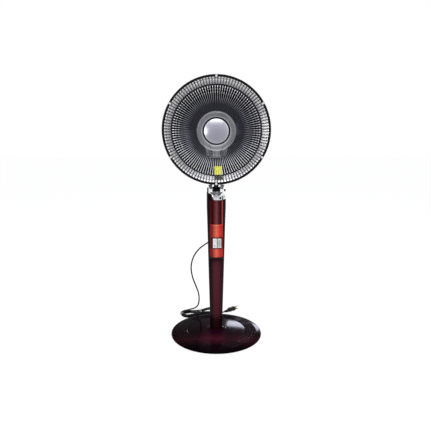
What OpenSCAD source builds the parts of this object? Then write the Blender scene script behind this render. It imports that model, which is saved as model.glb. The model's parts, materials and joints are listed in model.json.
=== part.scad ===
// Parabolic heater on a pillar: a round weighted base, a tapered column with its switches, a swing
// neck with a tilt joint, and a dish with a wire guard and a keyhole-shaped heating tube.
// All sizes are in millimetres. +Z is up, the front faces -Y, and the origin is on the floor at the
// centre of the base. Sizes of the head are given as a radius from its axis and a forward distance
// from the swing axis, which grows towards the front.

/* [Base] */
// Diameter of the base
base_d = 370; // [350:5:400]
// Height of the top of the rounded edge
base_edge_h = 15; // [14:1:18]
// Rise of the dome above the rounded edge
dome_rise = 13; // [11:1:20]
// Radial depth of the rounded edge
edge_round = 5; // [4:1:8]
// Wall of the base cover
base_wall = 3; // [2:0.5:3.5]
// Height of the feet, the gap under the base
floor_gap = 3; // [2.5:0.5:4]
// Height of the raised collar round the column's foot
collar_h = 5; // [4:1:8]
// Number of round ridges on the dome
ridge_count = 5; // [0:1:6]
// Distance between two ridges
ridge_pitch = 9.5; // [7:0.5:11]
// Height of a ridge
ridge_h = 1; // [0.4:0.1:1.4]
// Radius where the ridges start
ridge_r0 = 118; // [90:1:125]
// Thickness of the bottom plate
bottom_t = 2.5; // [2:0.5:3]
// Diameter of the cast weight
weight_d = 300; // [280:5:310]
// Thickness of the cast weight
weight_t = 9; // [6:0.5:9.5]
// Diameter of a foot
foot_d = 24; // [18:1:28]
// Number of feet
foot_count = 5; // [4:1:6]
// Distance of a foot from the centre
foot_pcd_r = 150; // [120:5:155]
// Number of screws in the bottom plate
bottom_screw_count = 6; // [4:1:8]
// Distance the tip-over plunger travels
tip_travel = 6; // [4:1:6]

/* [Column] */
// Radius of the column at the base
col_foot_r = 24.5; // [23:0.5:26]
// Radius of the column at the top
col_top_r = 37.6; // [37:0.2:40]
// Wall of the column shells
col_wall = 3.2; // [2.6:0.2:3.4]
// Height at which the taper ends
taper_top_z = 540; // [530:5:545]
// Height of the column's top edge
col_top_z = 572; // [568:1:580]
// Height of the raised shoulder at the left of the top edge
shoulder_z = 597; // [590:1:597]
// Outer diameter of the steel pole
pole_d = 22; // [19:1:22]
// Wall of the steel pole
pole_wall = 1.5; // [1:0.25:2.5]
// Width of the inlaid front strip
strip_w = 52; // [48:1:54]
// Thickness of the inlaid panels
panel_t = 1.6; // [1.2:0.2:1.8]
// Bottom of the control plate
plate_z0 = 332; // [320:1:345]
// Top of the control plate
plate_z1 = 472; // [462:1:485]
// Height of the switch block's centre
switch_z = 400; // [395:1:410]
// Sideways place of the switch block's centre
switch_x = 3.5; // [0:0.5:4]
// Width of one rocker
rocker_w = 15.4; // [13:0.2:15.8]
// Height of one rocker
rocker_h = 37; // [32:1:39]
// Tilt of a rocker to each side
rocker_tilt = 6; // [4:1:7]

/* [Swing drive] */
// Height of the underside of the neck
neck_z0 = 551; // [548:1:554]
// Diameter of the swing shaft
shaft_d = 12; // [10:0.5:13]
// Bore of the swing shaft for the wires
shaft_bore = 6; // [4:0.5:7]
// Teeth of the swing gear
gear_teeth = 36; // [36:12:48]
// Teeth of the motor pinion
pinion_teeth = 12; // [12:1:14]
// Distance between the swing shaft and the motor shaft
gear_centres = 22; // [20:0.5:22]
// Face width of the gears
gear_t = 8; // [5:0.5:9]
// Diameter of the swing motor
motor_d = 38; // [34:1:38]
// Height of the swing motor
motor_h = 17; // [14:1:18]
// Length of the bush
bush_len = 20; // [14:1:21]

/* [Neck] */
// Radius of the neck
neck_r = 35.6; // [34:0.2:35.6]
// Height of the tilt axis
tilt_z = 606; // [602:1:610]
// Width of the knuckle between the ears
knuckle_w = 30; // [26:1:32]
// Radius of the knuckle
knuckle_r = 15; // [13:0.5:16]
// Radius of the rounded tops of the ears
ear_r = 26; // [24:1:28]
// Half distance between the flats on the ears
flat_x = 30; // [28:0.5:31]
// Diameter of the tilt bolt
tilt_bolt_d = 8; // [6:0.5:8]
// Diameter of the tilt knob
knob_d = 20; // [16:1:20]
// Width of the tilt arm
arm_w = 11; // [8:0.5:14]

/* [Head] */
// Height of the head's centre
head_z = 840; // [830:1:850]
// Outer radius of the head's rim
rim_r = 200; // [196:1:205]
// Width of the rim's front lip
rim_lip_w = 9; // [7:0.5:10]
// Focal length of the reflector
dish_f = 75; // [70:1:85]
// Radius of the bowl inside its outer zone
bowl_r = 156; // [150:1:160]
// Forward distance of the bowl's edge
bowl_edge_h = 55; // [52:1:58]
// Sheet thickness of the dish and the pan
sheet_t = 1.2; // [0.8:0.1:1.5]
// Gap between the dish and the rear pan
pan_gap = 10; // [9:0.5:12]
// Number of slots in the rear pan
pan_slots = 24; // [12:2:30]
// Radius of the rear housing
housing_r = 85; // [82:1:88]
// Forward distance of the back of the rear housing
housing_back = -78; // [-86:1:-74]
// Wall of the rear housing
housing_wall = 2.5; // [2:0.1:3]
// Number of radial guard wires
wire_count = 108; // [72:12:120]
// Diameter of a guard wire
wire_d = 2.2; // [1.8:0.1:2.2]
// Diameter of the guard's rings
ring_d = 4; // [3:0.2:4.4]
// Rise of the guard's dome
guard_rise = 40; // [34:1:44]
// Radius of the middle ring of the guard
mid_ring_r = 165; // [150:1:172]
// Radius of the centre badge
badge_r = 44; // [42:0.5:47]
// Crown of the centre badge
badge_crown = 11; // [7:1:14]
// Number of rim clips
clip_count = 6; // [4:2:8]
// Width of a rim clip
clip_w = 7; // [6:0.5:12]

/* [Heating tube] */
// Radius of the tube's ring
tube_ring_r = 61; // [57:0.5:63]
// Diameter of the quartz tube
tube_d = 18; // [15:0.5:19]
// Wall of the quartz tube
tube_wall = 1.5; // [1:0.1:2]
// Diameter of the filament
filament_d = 4; // [2:0.5:5]
// Half angle of the ring's opening
tube_open = 45; // [43:1:47]
// Bend radius where the ring turns into the legs
tube_bend_r = 22; // [20:0.5:24]
// Slope of the legs from the vertical
leg_slope = 17; // [14:1:18]
// Length of a leg
leg_len = 36; // [33:1:38]
// Forward distance of the tube
tube_h = 49; // [47:1:51]

/* [Cord] */
// Diameter of the mains cord
cord_d = 6; // [5:0.5:6.5]
// Length of the strain relief outside the column
gland_len = 32; // [24:1:40]
// Height of the cord's exit
cord_exit_z = 392; // [385:1:400]

/* [Hidden] */

$fn = 96;
fit = 0.3;          // gap between pieces that only lie near each other
run = 0.05;         // radial gap of a shaft in its bore
eps = 1;            // overrun of a cut past the face it opens
steps = 14;         // chords in a smooth outline

// Base
base_r = base_d / 2;
cavity_r = base_r - edge_round - 2;
dome_r = base_r - edge_round;
ridge_r1 = ridge_r0 + ridge_count * ridge_pitch;
bottom_z1 = floor_gap + bottom_t;
bottom_r = cavity_r - fit;
weight_z0 = bottom_z1 + fit;
weight_z1 = weight_z0 + weight_t;
bottom_screw_r = cavity_r - 9;
bottom_screw_d = 3;
boss_d = 8;
foot_stud_d = 7;
foot_turn = 90 / foot_count;
flange_r = 42;
flange_t = 4;
flange_z0 = weight_z1 + fit;
flange_z1 = flange_z0 + flange_t;
pole_bolt_pcd_r = 31;
pole_bolt_d = 6;
pole_bolt_head = [5, 3.4];
tip_y = -95;
tip_size = [26, 14, 12];
tip_plunger_d = 7;
tip_rest_gap = 0.2;

// Column
col_slope = (col_top_r - col_foot_r) / (taper_top_z - base_edge_h - dome_rise);
col_z0 = flange_z1 + fit;
screw_zs = [80, 300, 450];
col_boss_d = 8;
col_screw_d = 3;
col_screw_len = 18;
col_screw_seat = 8;
col_screw_head_t = 2;
seat_gap = 0.1;
bezel_wall = 2;
bezel_post = 1.8;
bezel_side = 0.2;
bezel_w = 2 * rocker_w + 4 * bezel_side + bezel_post + 2 * bezel_wall;
bezel_h = rocker_h + 7;
bezel_front = 35.2;
bezel_back = 22;
rocker_axis_y = -30.6;
rocker_pin_d = 3;
rocker_pin_len = 0.7;
switch_front = bezel_back - fit;
switch_back = pole_d / 2 + 1;

// Swing drive, from the neck downwards
shaft_flange_r = 15;
shaft_flange_t = 3;
washer_t = 1.7;
bush_flange_t = 2;
bush_flange_r = 13;
bush_r = shaft_d / 2 + 3;
washer_z0 = neck_z0 - shaft_flange_t - fit - washer_t;
bush_top = washer_z0 - fit;
top_plate_z1 = bush_top - bush_flange_t;
top_plate_t = 3;
bush_z0 = bush_top - bush_len;
gear_z1 = bush_z0 - fit;
gear_z0 = gear_z1 - gear_t;
clip_t = 1.5;
shaft_z0 = gear_z0 - clip_t - 2;
motor_z1 = shaft_z0 - 3;
shelf_z1 = motor_z1 - motor_h;
shelf_t = 2.5;
shelf_z0 = shelf_z1 - shelf_t;
shelf_r = 30.5;
leg_x = 28;
leg_t = 2.5;
leg_w = 18;
motor_y = gear_centres - 10;
motor_shaft_d = 5;
collar_len = 24;
collar_wall = 3.5;
gear_module = 2 * gear_centres / (gear_teeth + pinion_teeth);

// Neck
neck_lip_r = neck_r + 0.4;
slot_half = knuckle_w / 2 + fit;
slot_r = knuckle_r + 1;
neck_core = slot_half + 3.5;
neck_wall = 4;
neck_screw_pcd_r = 11;
knob_t = 5;
bolt_head = [5.5, 6.5];
saddle_half = 20;
saddle_t = 4;
saddle_len = 40;
saddle_back = 60;

// Head
bowl_vertex_h = bowl_edge_h - bowl_r * bowl_r / (4 * dish_f);
rim_wall = 2.8;
rim_lip_t = 2;
rim_h0 = 68;
pan_lip_h = rim_h0 + rim_lip_t + fit;
dish_lip_h = pan_lip_h + sheet_t + fit;
ring_h = dish_lip_h + sheet_t + fit + ring_d / 2;
lip_r = rim_r - rim_wall - 0.4;
guard_r = lip_r - ring_d / 2;
zone_r0 = bowl_r + 4;
zone_h0 = bowl_edge_h + 3;
zone_r1 = lip_r - 4;
pan_edge_r = lip_r - 2;
pan_flat_r = 60;
pan_blend_r = 92;
pan_flat_h = bowl_vertex_h - sheet_t - pan_gap - 1;
pan_hole_r = 14;
post_pcd_r = 50;
post_r = 5.5;
housing_screw_d = 3.6;
housing_screw_len = 17;
housing_head = [3.6, 2.4];
screw_seat_h = pan_flat_h - sheet_t - 12;
block_size = [36, 16, 14];
block_y = -24;
cutout_r = 8.5;
cutout_t = 8;
hub_ring_r = badge_r - 3;
wire_gap = 0.25;
rim_lip_h = wire_h(rim_r - rim_lip_w) + 0.6 * wire_d + fit;
rim_h1 = rim_lip_h + rim_lip_t;
wire_stops = [guard_r, mid_ring_r, 136, 106, 74, hub_ring_r - 1];
badge_wall = 2;
badge_h0 = guard_front(badge_r) + fit;
clamp_h1 = guard_h(hub_ring_r) - ring_d / 2 - fit;
clamp_t = 2;
clamp_r = badge_r - 2;

// Heating tube, in the plane of the head: the arc's end, the bend's centre and the leg's ends
arc_end = tube_ring_r * [sin(tube_open), -cos(tube_open)];
bend_at = (tube_ring_r + tube_bend_r) * [sin(tube_open), -cos(tube_open)];
leg_top = bend_at + tube_bend_r * [-cos(leg_slope), sin(leg_slope)];
leg_end = leg_top - leg_len * [sin(leg_slope), cos(leg_slope)];
cap_r = tube_d / 2 + 2;
cap_len = 15;
cap_over = 6;
// the caps' inner reach, beside the holder plate
cap_in = leg_end[0] - (cap_len - cap_over) * sin(leg_slope) - cap_r * cos(leg_slope);
lip_half = leg_end[0] - 2;
stand_w = 26;
stand_front = tube_h - 8;
plate_front = tube_h + 2;
holder_t = 1.5;
holder_top = -56;
lead_d = 2.4;
fuse_gap = 0.1;
fuse_bead = 0.5;
ring_cut = degrees(fuse_gap / tube_ring_r);
bend_cut = degrees(fuse_gap / tube_bend_r);
stand_screw_y = -76;
stand_screw_len = 18;
stand_screw_head = [3.5, 2.2];
stand_screw_back = bowl_h(-stand_screw_y - stand_screw_head[0]) - sheet_t - 0.1
    - stand_screw_head[1];

// Cord. Route of the free stretch from the strain relief to the hank, then of the tail
gland_root_r = 6.5;
gland_tip_r = cord_d / 2 + 1;
gland_tip_y = column_r(cord_exit_z) + gland_len;
cord_r = cord_d / 2;
free_points = [[0, gland_tip_y, cord_exit_z], [0, gland_tip_y + 16, cord_exit_z - 1], [-10, 101, 385],
    [-35, 110, 364], [-68, 116, 338], [-92, 118, 307], [-104, 120, 274], [-107, 123, 241],
    [-101, 130, 202], [-90, 142, 165], [-80, 158, 130], [-76, 176, 99], [-77, 196, 68],
    [-82, 215, 43], [-90, 230, 27], [-102, 238, 17]];
// The hank lies flat behind the base, wound as a flattened spiral in two layers
hank_at = [-74, 216];
hank_turn = 20;
hank_run = 110;
hank_in_r = 18;
hank_pitch = 9;
hank_draw = 13;
hank_z = [4, 10.8];
hank_rings = 24;
hank_reverse = 2;
hank_from = 2;
hank_to = 85;
hank_soft = 0.12;
tie_w = 12;
tie_t = 0.8;
tail_points = [[0, 204, 4], [20, 208, 5]];
plug_at = [70, 243];
plug_turn = 40;
plug_size = [27, 26, 34];
plug_flat = 9;
plug_z = plug_flat + fit;
plug_neck_len = 24;
pin_len = 17;

// An arc's angle for its length over its radius
function degrees(ratio) = ratio * 180 / PI;

// Smooth blend from 0 to 1
function ease(t) = let(u = max(0, min(1, t))) u * u * (3 - 2 * u);

// Outer radius of the column at a height
function column_r(z) = min(col_top_r, col_foot_r + (z - base_edge_h - dome_rise) * col_slope);

// Height of the dome's surface at a radius
function dome_z(r) = base_edge_h + dome_rise * (1 - pow(r / dome_r, 2));

// Height of the round ridges over the dome at a radius
function ridge_z(r) = r < ridge_r0 || r > ridge_r1 ? 0
    : ridge_h * (1 - cos(360 * (r - ridge_r0) / ridge_pitch)) / 2;

// Forward distance of the bowl's front, of the pan's front and of the guard wires' middle
function bowl_h(r) = bowl_vertex_h + r * r / (4 * dish_f);
function pan_bowl(r) = bowl_h(r) - sheet_t - pan_gap;
function pan_h(r) = r < pan_flat_r ? pan_flat_h
    : r < pan_blend_r ? pan_flat_h + (pan_bowl(pan_blend_r) - pan_flat_h)
        * (r - pan_flat_r) / (pan_blend_r - pan_flat_r)
    : pan_bowl(r);
function guard_h(r) = ring_h + guard_rise * (1 - pow(r / guard_r, 3));
function guard_front(r) = guard_h(r) + ring_d / 2 + wire_d + wire_gap + 0.2;

// Points of an arc: centre, radius, first and last angle, number of chords
function arc(c, r, a0, a1, n) = [for (i = [0:n]) c + r * [cos(a0 + (a1 - a0) * i / n),
    sin(a0 + (a1 - a0) * i / n)]];

// Places the head's own frame: X to the right, Y up, Z forward
module on_head() translate([0, 0, head_z]) rotate([90, 0, 0]) children();

// Places a piece on the tilt axis, with its Z along +X
module on_tilt_axis() translate([0, 0, tilt_z]) rotate([0, 90, 0]) children();

// A solid of the column's outline, grown by a gap, between two heights
module column_form(grow, z0, z1) {
    mid = max(z0, min(z1, taper_top_z));
    rotate_extrude() polygon([[0, z0], [column_r(z0) + grow, z0], [column_r(mid) + grow, mid],
        [column_r(z1) + grow, z1], [0, z1]]);
}

// A block that reaches past the column on one side of the XZ plane
module half(side, z0, z1, gap) {
    w = 2 * col_top_r + 20;
    translate([-w / 2, side > 0 ? gap : -w - gap, z0]) cube([w, w, z1 - z0]);
}

// The outline above the column's top edge, with its raised shoulder on the left
module above_shoulder() {
    blend = [for (i = [0:steps]) [-24 + 16 * i / steps,
        shoulder_z - 1 + (col_top_z - shoulder_z + 1) * ease(i / steps)]];
    rotate([90, 0, 0]) linear_extrude(120, center = true)
        polygon(concat([[-60, shoulder_z + 2], [-40, shoulder_z + 1]], blend,
            [[60, col_top_z], [60, shoulder_z + 40], [-60, shoulder_z + 40]]));
}

// ---------------------------------------------------------------- base

module base_cover() {
    edge_mid = (floor_gap + base_edge_h) / 2;
    edge_half = (base_edge_h - floor_gap) / 2;
    hole_r = column_r(base_edge_h + dome_rise + collar_h) + 0.4;
    collar_r = hole_r + 3;
    blend_r = collar_r + 12;
    top = function(r) dome_z(r) + collar_h * (1 - ease((r - collar_r) / (blend_r - collar_r)));
    color([0.13, 0.05, 0.07]) difference() {
        rotate_extrude() polygon(concat(
            [for (i = [0:steps]) let(a = -90 + 180 * i / steps)
                [dome_r + edge_round * cos(a), edge_mid + edge_half * sin(a)]],
            [for (i = [1:3]) let(r = dome_r + (ridge_r1 - dome_r) * i / 4) [r, dome_z(r)]],
            [for (i = [0:6 * ridge_count]) let(r = ridge_r1 - ridge_pitch * i / 6) [r, dome_z(r) + ridge_z(r)]],
            [for (i = [1:8]) let(r = ridge_r0 + (blend_r - ridge_r0) * i / 8) [r, dome_z(r)]],
            [for (i = [1:steps / 2]) let(r = blend_r + (collar_r - blend_r) * i * 2 / steps) [r, top(r)]],
            [[hole_r, top(collar_r)], [hole_r, dome_z(hole_r) - base_wall]],
            [for (i = [1:steps]) let(r = hole_r + (cavity_r - hole_r) * i / steps)
                [r, dome_z(r) - base_wall]],
            [[cavity_r, floor_gap]]));
    }
    color([0.13, 0.05, 0.07]) for (i = [0:bottom_screw_count - 1])
        rotate(i * 360 / bottom_screw_count) translate([bottom_screw_r, 0, 0]) difference() {
            translate([0, 0, bottom_z1]) cylinder(d = boss_d, h = dome_z(bottom_screw_r + boss_d / 2)
                - base_wall / 2 - bottom_z1);
            translate([0, 0, bottom_z1 - eps]) cylinder(d = bottom_screw_d + 2 * run, h = 7 + eps);
        }
}

module base_weight() color([0.25, 0.25, 0.27]) difference() {
    translate([0, 0, weight_z0]) cylinder(d = weight_d, h = weight_t);
    pole_bolt_places() translate([0, 0, weight_z0 - eps])
        cylinder(d = pole_bolt_d + 2 * run, h = weight_t + 2 * eps);
    translate([-tip_size[0] / 2 - 2, tip_y - tip_size[1] / 2 - 2, weight_z0 - eps])
        cube([tip_size[0] + 4, tip_size[1] + 4, weight_t + 2 * eps]);
    translate([0, 0, weight_z0 - eps]) cylinder(r = pole_d / 2 - pole_wall, h = weight_t + 2 * eps);
}

module bottom_plate() color([0.1, 0.1, 0.1]) difference() {
    translate([0, 0, floor_gap]) cylinder(r = bottom_r, h = bottom_t);
    foot_places() translate([0, 0, floor_gap - eps])
        cylinder(d = foot_stud_d + 2 * run, h = bottom_t + 2 * eps);
    bottom_screw_places() {
        translate([0, 0, floor_gap - eps]) cylinder(d = bottom_screw_d + 2 * run, h = bottom_t + 2 * eps);
        translate([0, 0, floor_gap - eps]) cylinder(d = 2 * bottom_screw_d + 1, h = eps + 1.2);
    }
    translate([0, tip_y, floor_gap - eps]) cylinder(d = tip_plunger_d + 1, h = bottom_t + 2 * eps);
}

module foot_places() for (i = [0:foot_count - 1])
    rotate(foot_turn + i * 360 / foot_count) translate([foot_pcd_r, 0, 0]) children();

module bottom_screw_places() for (i = [0:bottom_screw_count - 1])
    rotate(i * 360 / bottom_screw_count) translate([bottom_screw_r, 0, 0]) children();

module pole_bolt_places() for (i = [0:3])
    rotate(45 + i * 90) translate([pole_bolt_pcd_r, 0, 0]) children();

module base_feet() color([0.08, 0.08, 0.08]) foot_places() {
    cylinder(d1 = foot_d - 2, d2 = foot_d, h = floor_gap);
    cylinder(d = foot_stud_d, h = floor_gap + bottom_t);
}

module bottom_screws() color([0.6, 0.6, 0.62]) bottom_screw_places() {
    translate([0, 0, floor_gap + 0.2]) cylinder(d = 2 * bottom_screw_d, h = 1);
    translate([0, 0, floor_gap + 0.2]) cylinder(d = bottom_screw_d, h = 7);
}

module tip_switch() color([0.12, 0.12, 0.12]) difference() {
    translate([-tip_size[0] / 2, tip_y - tip_size[1] / 2, bottom_z1]) cube(tip_size);
    translate([0, tip_y, bottom_z1 - eps])
        cylinder(d = tip_plunger_d + 2 * run, h = tip_size[2] - 2 + eps);
}

module tip_plunger() color([0.85, 0.85, 0.8]) translate([0, tip_y, tip_rest_gap])
    cylinder(d = tip_plunger_d, h = bottom_z1 + tip_size[2] - 2 - fit - tip_rest_gap);

// ---------------------------------------------------------------- column

module column_pole() color([0.55, 0.56, 0.58]) difference() {
    union() {
        translate([0, 0, flange_z0]) cylinder(d = pole_d, h = shelf_z0 - flange_z0);
        translate([0, 0, flange_z0]) cylinder(r = flange_r, h = flange_t);
    }
    translate([0, 0, flange_z0 - eps]) cylinder(d = pole_d - 2 * pole_wall, h = shelf_z0 - flange_z0 + 2 * eps);
    pole_bolt_places() translate([0, 0, flange_z0 - eps])
        cylinder(d = pole_bolt_d + 0.6, h = flange_t + 2 * eps);
}

module pole_bolts() color([0.6, 0.6, 0.62]) pole_bolt_places() {
    translate([0, 0, weight_z0]) cylinder(d = pole_bolt_d, h = flange_z1 - weight_z0 + 1);
    translate([0, 0, flange_z1]) cylinder(r = pole_bolt_head[0], h = pole_bolt_head[1], $fn = 6);
}

// Sideways place of the column's screws at a height
function col_screw_x(z) = column_r(z) - col_wall - col_boss_d / 2 - 1.5;

module col_screw_places() for (z = screw_zs, s = [-1, 1])
    translate([s * col_screw_x(z), 0, z]) rotate([-90, 0, 0]) children();

// One half of the column's casing
module column_half(side) difference() {
    union() {
        difference() {
            column_form(0, col_z0, shoulder_z + 2);
            column_form(-col_wall, col_z0 - eps, taper_top_z + 6);
            translate([0, 0, taper_top_z]) cylinder(r = neck_lip_r, h = shoulder_z - taper_top_z + 4);
        }
        intersection() {
            col_screw_places() translate([0, 0, -col_top_r])
                cylinder(d = col_boss_d, h = 2 * col_top_r);
            column_form(-col_wall / 2, col_z0, taper_top_z);
        }
    }
    half(-side, col_z0 - eps, shoulder_z + 4, -fit / 2);
    above_shoulder();
}

module column_front() color([0.24, 0.05, 0.07]) difference() {
    column_half(-1);
    strip_cut(panel_t + seat_gap, plate_z0 - seat_gap, col_top_z - 2);
    translate([switch_x - bezel_w / 2 - seat_gap, -col_top_r - eps, switch_z - bezel_h / 2 - seat_gap])
        cube([bezel_w + 2 * seat_gap, col_top_r, bezel_h + 2 * seat_gap]);
    col_screw_places() translate([0, 0, -col_top_r + 20]) cylinder(d = col_screw_d + 2 * run, h = col_top_r);
}

module column_rear() color([0.24, 0.05, 0.07]) difference() {
    column_half(1);
    col_screw_places() {
        translate([0, 0, -eps]) cylinder(d = col_screw_d + 2 * run, h = col_top_r);
        translate([0, 0, col_screw_seat]) cylinder(d = 2 * col_screw_d + 1, h = col_top_r);
    }
    translate([0, 0, cord_exit_z]) rotate([-90, 0, 0]) cylinder(r = gland_root_r - 1.4, h = col_top_r + eps);
}

module column_screws() color([0.6, 0.6, 0.62]) col_screw_places() {
    translate([0, 0, col_screw_seat - col_screw_len]) cylinder(d = col_screw_d, h = col_screw_len);
    translate([0, 0, col_screw_seat]) cylinder(d = 2 * col_screw_d, h = col_screw_head_t);
}

// The layer of the column's front that an inlaid panel fills
module strip_cut(depth, z0, z1) intersection() {
    difference() {
        column_form(eps, z0, z1);
        column_form(-depth, z0 - eps, z1 + eps);
    }
    translate([-strip_w / 2 - seat_gap, -col_top_r - 2 * eps, z0])
        cube([strip_w + 2 * seat_gap, col_top_r, z1 - z0]);
}

// A panel that follows the column's front
module inlaid_panel(z0, z1) intersection() {
    difference() {
        column_form(0, z0, z1);
        column_form(-panel_t, z0 - eps, z1 + eps);
    }
    translate([-strip_w / 2, -col_top_r - 2 * eps, z0]) cube([strip_w, col_top_r, z1 - z0]);
}

module window_panel() color([0.16, 0.03, 0.05]) inlaid_panel(plate_z1 + 3, col_top_z - 2.1);

module control_plate() color([0.82, 0.24, 0.18]) difference() {
    inlaid_panel(plate_z0, plate_z1 + 2.8);
    translate([switch_x - bezel_w / 2 - seat_gap, -col_top_r - eps, switch_z - bezel_h / 2 - seat_gap])
        cube([bezel_w + 2 * seat_gap, col_top_r, bezel_h + 2 * seat_gap]);
}

// Sideways place of the left (-1) and right (1) rocker
function rocker_x(side) = switch_x + side * (rocker_w + bezel_post + 2 * bezel_side) / 2;

module switch_bezel() color([0.07, 0.06, 0.08]) difference() {
    translate([switch_x - bezel_w / 2, -bezel_front, switch_z - bezel_h / 2])
        cube([bezel_w, bezel_front - bezel_back, bezel_h]);
    for (s = [-1, 1]) {
        translate([rocker_x(s) - rocker_w / 2 - bezel_side, -bezel_front - eps, switch_z - rocker_h / 2 - 1.2])
            cube([rocker_w + 2 * bezel_side, bezel_front - bezel_back - 1.5 + eps, rocker_h + 2.4]);
    }
    translate([switch_x - bezel_w / 2 + 1, rocker_axis_y, switch_z]) rotate([0, 90, 0])
        cylinder(d = rocker_pin_d + 2 * run, h = bezel_w - 2);
}

// A rocker: its face is a shallow V about the pivot, tilted one way at rest
module rocker(side) translate([rocker_x(side), rocker_axis_y, switch_z]) {
    rotate([-rocker_tilt, 0, 0]) rotate([90, 0, 90])
        linear_extrude(rocker_w, center = true) polygon([[-6.2, -rocker_h / 2], [-4, 0], [-6.2, rocker_h / 2],
            [-1, rocker_h / 2 - 1], [3, rocker_h / 4], [3, -rocker_h / 4], [-1, 1 - rocker_h / 2]]);
    rotate([0, 90, 0]) cylinder(d = rocker_pin_d, h = rocker_w + 2 * (bezel_side + rocker_pin_len), center = true);
}

module heat_rocker() color([0.95, 0.94, 0.92]) rocker(-1);
module swing_rocker() color([0.93, 0.94, 0.92]) rocker(1);

module switch_bodies() color([0.1, 0.1, 0.1]) for (s = [-1, 1])
    translate([rocker_x(s) - rocker_w / 2 + 1, -bezel_back, switch_z - 14])
        cube([rocker_w - 2, bezel_back - switch_back, 28]);

module cord_gland() color([0.07, 0.07, 0.07]) translate([0, 0, cord_exit_z]) rotate([-90, 0, 0]) {
    inner = sqrt(pow(column_r(cord_exit_z) - col_wall, 2) - pow(gland_root_r + 1, 2));
    outer = column_r(cord_exit_z);
    difference() {
        union() {
            translate([0, 0, inner - 3.5]) cylinder(r = gland_root_r + 1, h = 3);
            translate([0, 0, inner - 1.5]) cylinder(r = gland_root_r - 1.5, h = outer - inner + 2.5);
            translate([0, 0, outer + fit]) cylinder(r = gland_root_r, h = 3);
            translate([0, 0, outer + fit + 3]) cylinder(r1 = gland_root_r - 0.8, r2 = gland_tip_r,
                h = gland_len - fit - 3);
        }
        translate([0, 0, inner - 3.5 - eps]) cylinder(r = cord_r - 1, h = outer - inner + gland_len + 4 * eps);
    }
}

// ---------------------------------------------------------------- swept tubes

function unit(v) = v / norm(v);

// Directions along a row of points
function along(p) = [for (i = [0:len(p) - 1]) unit(p[min(i + 1, len(p) - 1)] - p[max(i - 1, 0)])];

// A sideways direction carried along the row with no twist
function carried(t, first) = [for (i = 0, n = unit(first - (first * t[0]) * t[0]); i < len(t);
    i = i + 1, n = i < len(t) ? unit(n - (n * t[i]) * t[i]) : n) n];

// A smooth curve through the points, cut into the given number of chords between two of them
function curve(p, cuts) = concat([for (i = [0:len(p) - 2]) let(
        a = p[max(i - 1, 0)], b = p[i], c = p[i + 1], d = p[min(i + 2, len(p) - 1)])
    each [for (k = [0:cuts - 1]) let(t = k / cuts)
        0.5 * (2 * b + (c - a) * t + (2 * a - 5 * b + 4 * c - d) * t * t
            + (3 * b - a - 3 * c + d) * t * t * t)]], [p[len(p) - 1]]);

// A closed round tube along the points
module tube(p, r, sides) {
    t = along(p);
    n = carried(t, [0.02, 0.03, 1]);
    rings = len(p);
    verts = [for (i = [0:rings - 1], k = [0:sides - 1])
        p[i] + r * (cos(360 * k / sides) * n[i] + sin(360 * k / sides) * cross(t[i], n[i]))];
    wall = [for (i = [0:rings - 2], k = [0:sides - 1]) let(a = i * sides + k,
        b = i * sides + (k + 1) % sides) each [[a, a + sides, b], [b, a + sides, b + sides]]];
    first = [for (k = [1:sides - 2]) [0, k, k + 1]];
    last = [for (k = [1:sides - 2]) let(o = (rings - 1) * sides) [o, o + k + 1, o + k]];
    polyhedron(verts, concat(wall, first, last), convexity = 10);
}

// ---------------------------------------------------------------- cord

// Bend radius of the hank's loop at a turn, which shrinks to the middle and grows again
function hank_r(u) = hank_in_r + hank_pitch * (sqrt(pow(u - hank_reverse, 2) + pow(hank_soft, 2)) - hank_soft);

// Height of the hank's loop at a turn: the upper layer first, then the lower one
function hank_level(u) = hank_z[1] + (hank_z[0] - hank_z[1]) * ease((u - hank_reverse) * 6 + 0.5);

// A point of the hank in its own frame. A turn is a run, a fold, a run back and a fold
function hank_flat(u) = let(r = hank_r(u), f = u - floor(u), half = hank_run / 2)
    f <= 1 / 12 ? run_point(-f * 6 * hank_run, r, 1)
    : f < 5 / 12 ? [-half, 0] + r * [-sin((f - 1 / 12) * 540), cos((f - 1 / 12) * 540)]
    : f <= 7 / 12 ? run_point((f - 0.5) * 6 * hank_run, r, -1)
    : f < 11 / 12 ? [half, 0] + r * [sin((f - 7 / 12) * 540), -cos((f - 7 / 12) * 540)]
    : run_point((1 - f) * 6 * hank_run, r, 1);

// A point of a straight run, drawn in towards the middle
function run_point(x, r, side) = [x, side * (r - hank_draw * pow(cos(180 * x / hank_run), 2))];

function hank_point(u) = let(q = hank_flat(u)) [
    hank_at[0] + q[0] * cos(hank_turn) - q[1] * sin(hank_turn),
    hank_at[1] + q[0] * sin(hank_turn) + q[1] * cos(hank_turn), hank_level(u)];

hank_wound = [for (i = [hank_from:hank_to]) hank_point(i / hank_rings)];
hank_in = unit(hank_wound[0] - hank_wound[1]);
hank_out = unit(hank_wound[len(hank_wound) - 1] - hank_wound[len(hank_wound) - 2]);
hank_points = concat([hank_wound[0] + cord_d * hank_in], hank_wound,
    [hank_wound[len(hank_wound) - 1] + cord_d * hank_out]);

// Least gap of the hank's tube to itself, between points half a loop or more apart
hank_gap = min([for (i = [0:len(hank_points) - 2], j = [i + 8:len(hank_points) - 2])
    min([for (k = [0:4]) min([for (m = [0:4]) norm(
        hank_points[i] + (hank_points[i + 1] - hank_points[i]) * k / 4
        - hank_points[j] - (hank_points[j + 1] - hank_points[j]) * m / 4)])])]) - cord_d;
echo("least gap of the hank to itself, mm", hank_gap);

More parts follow.
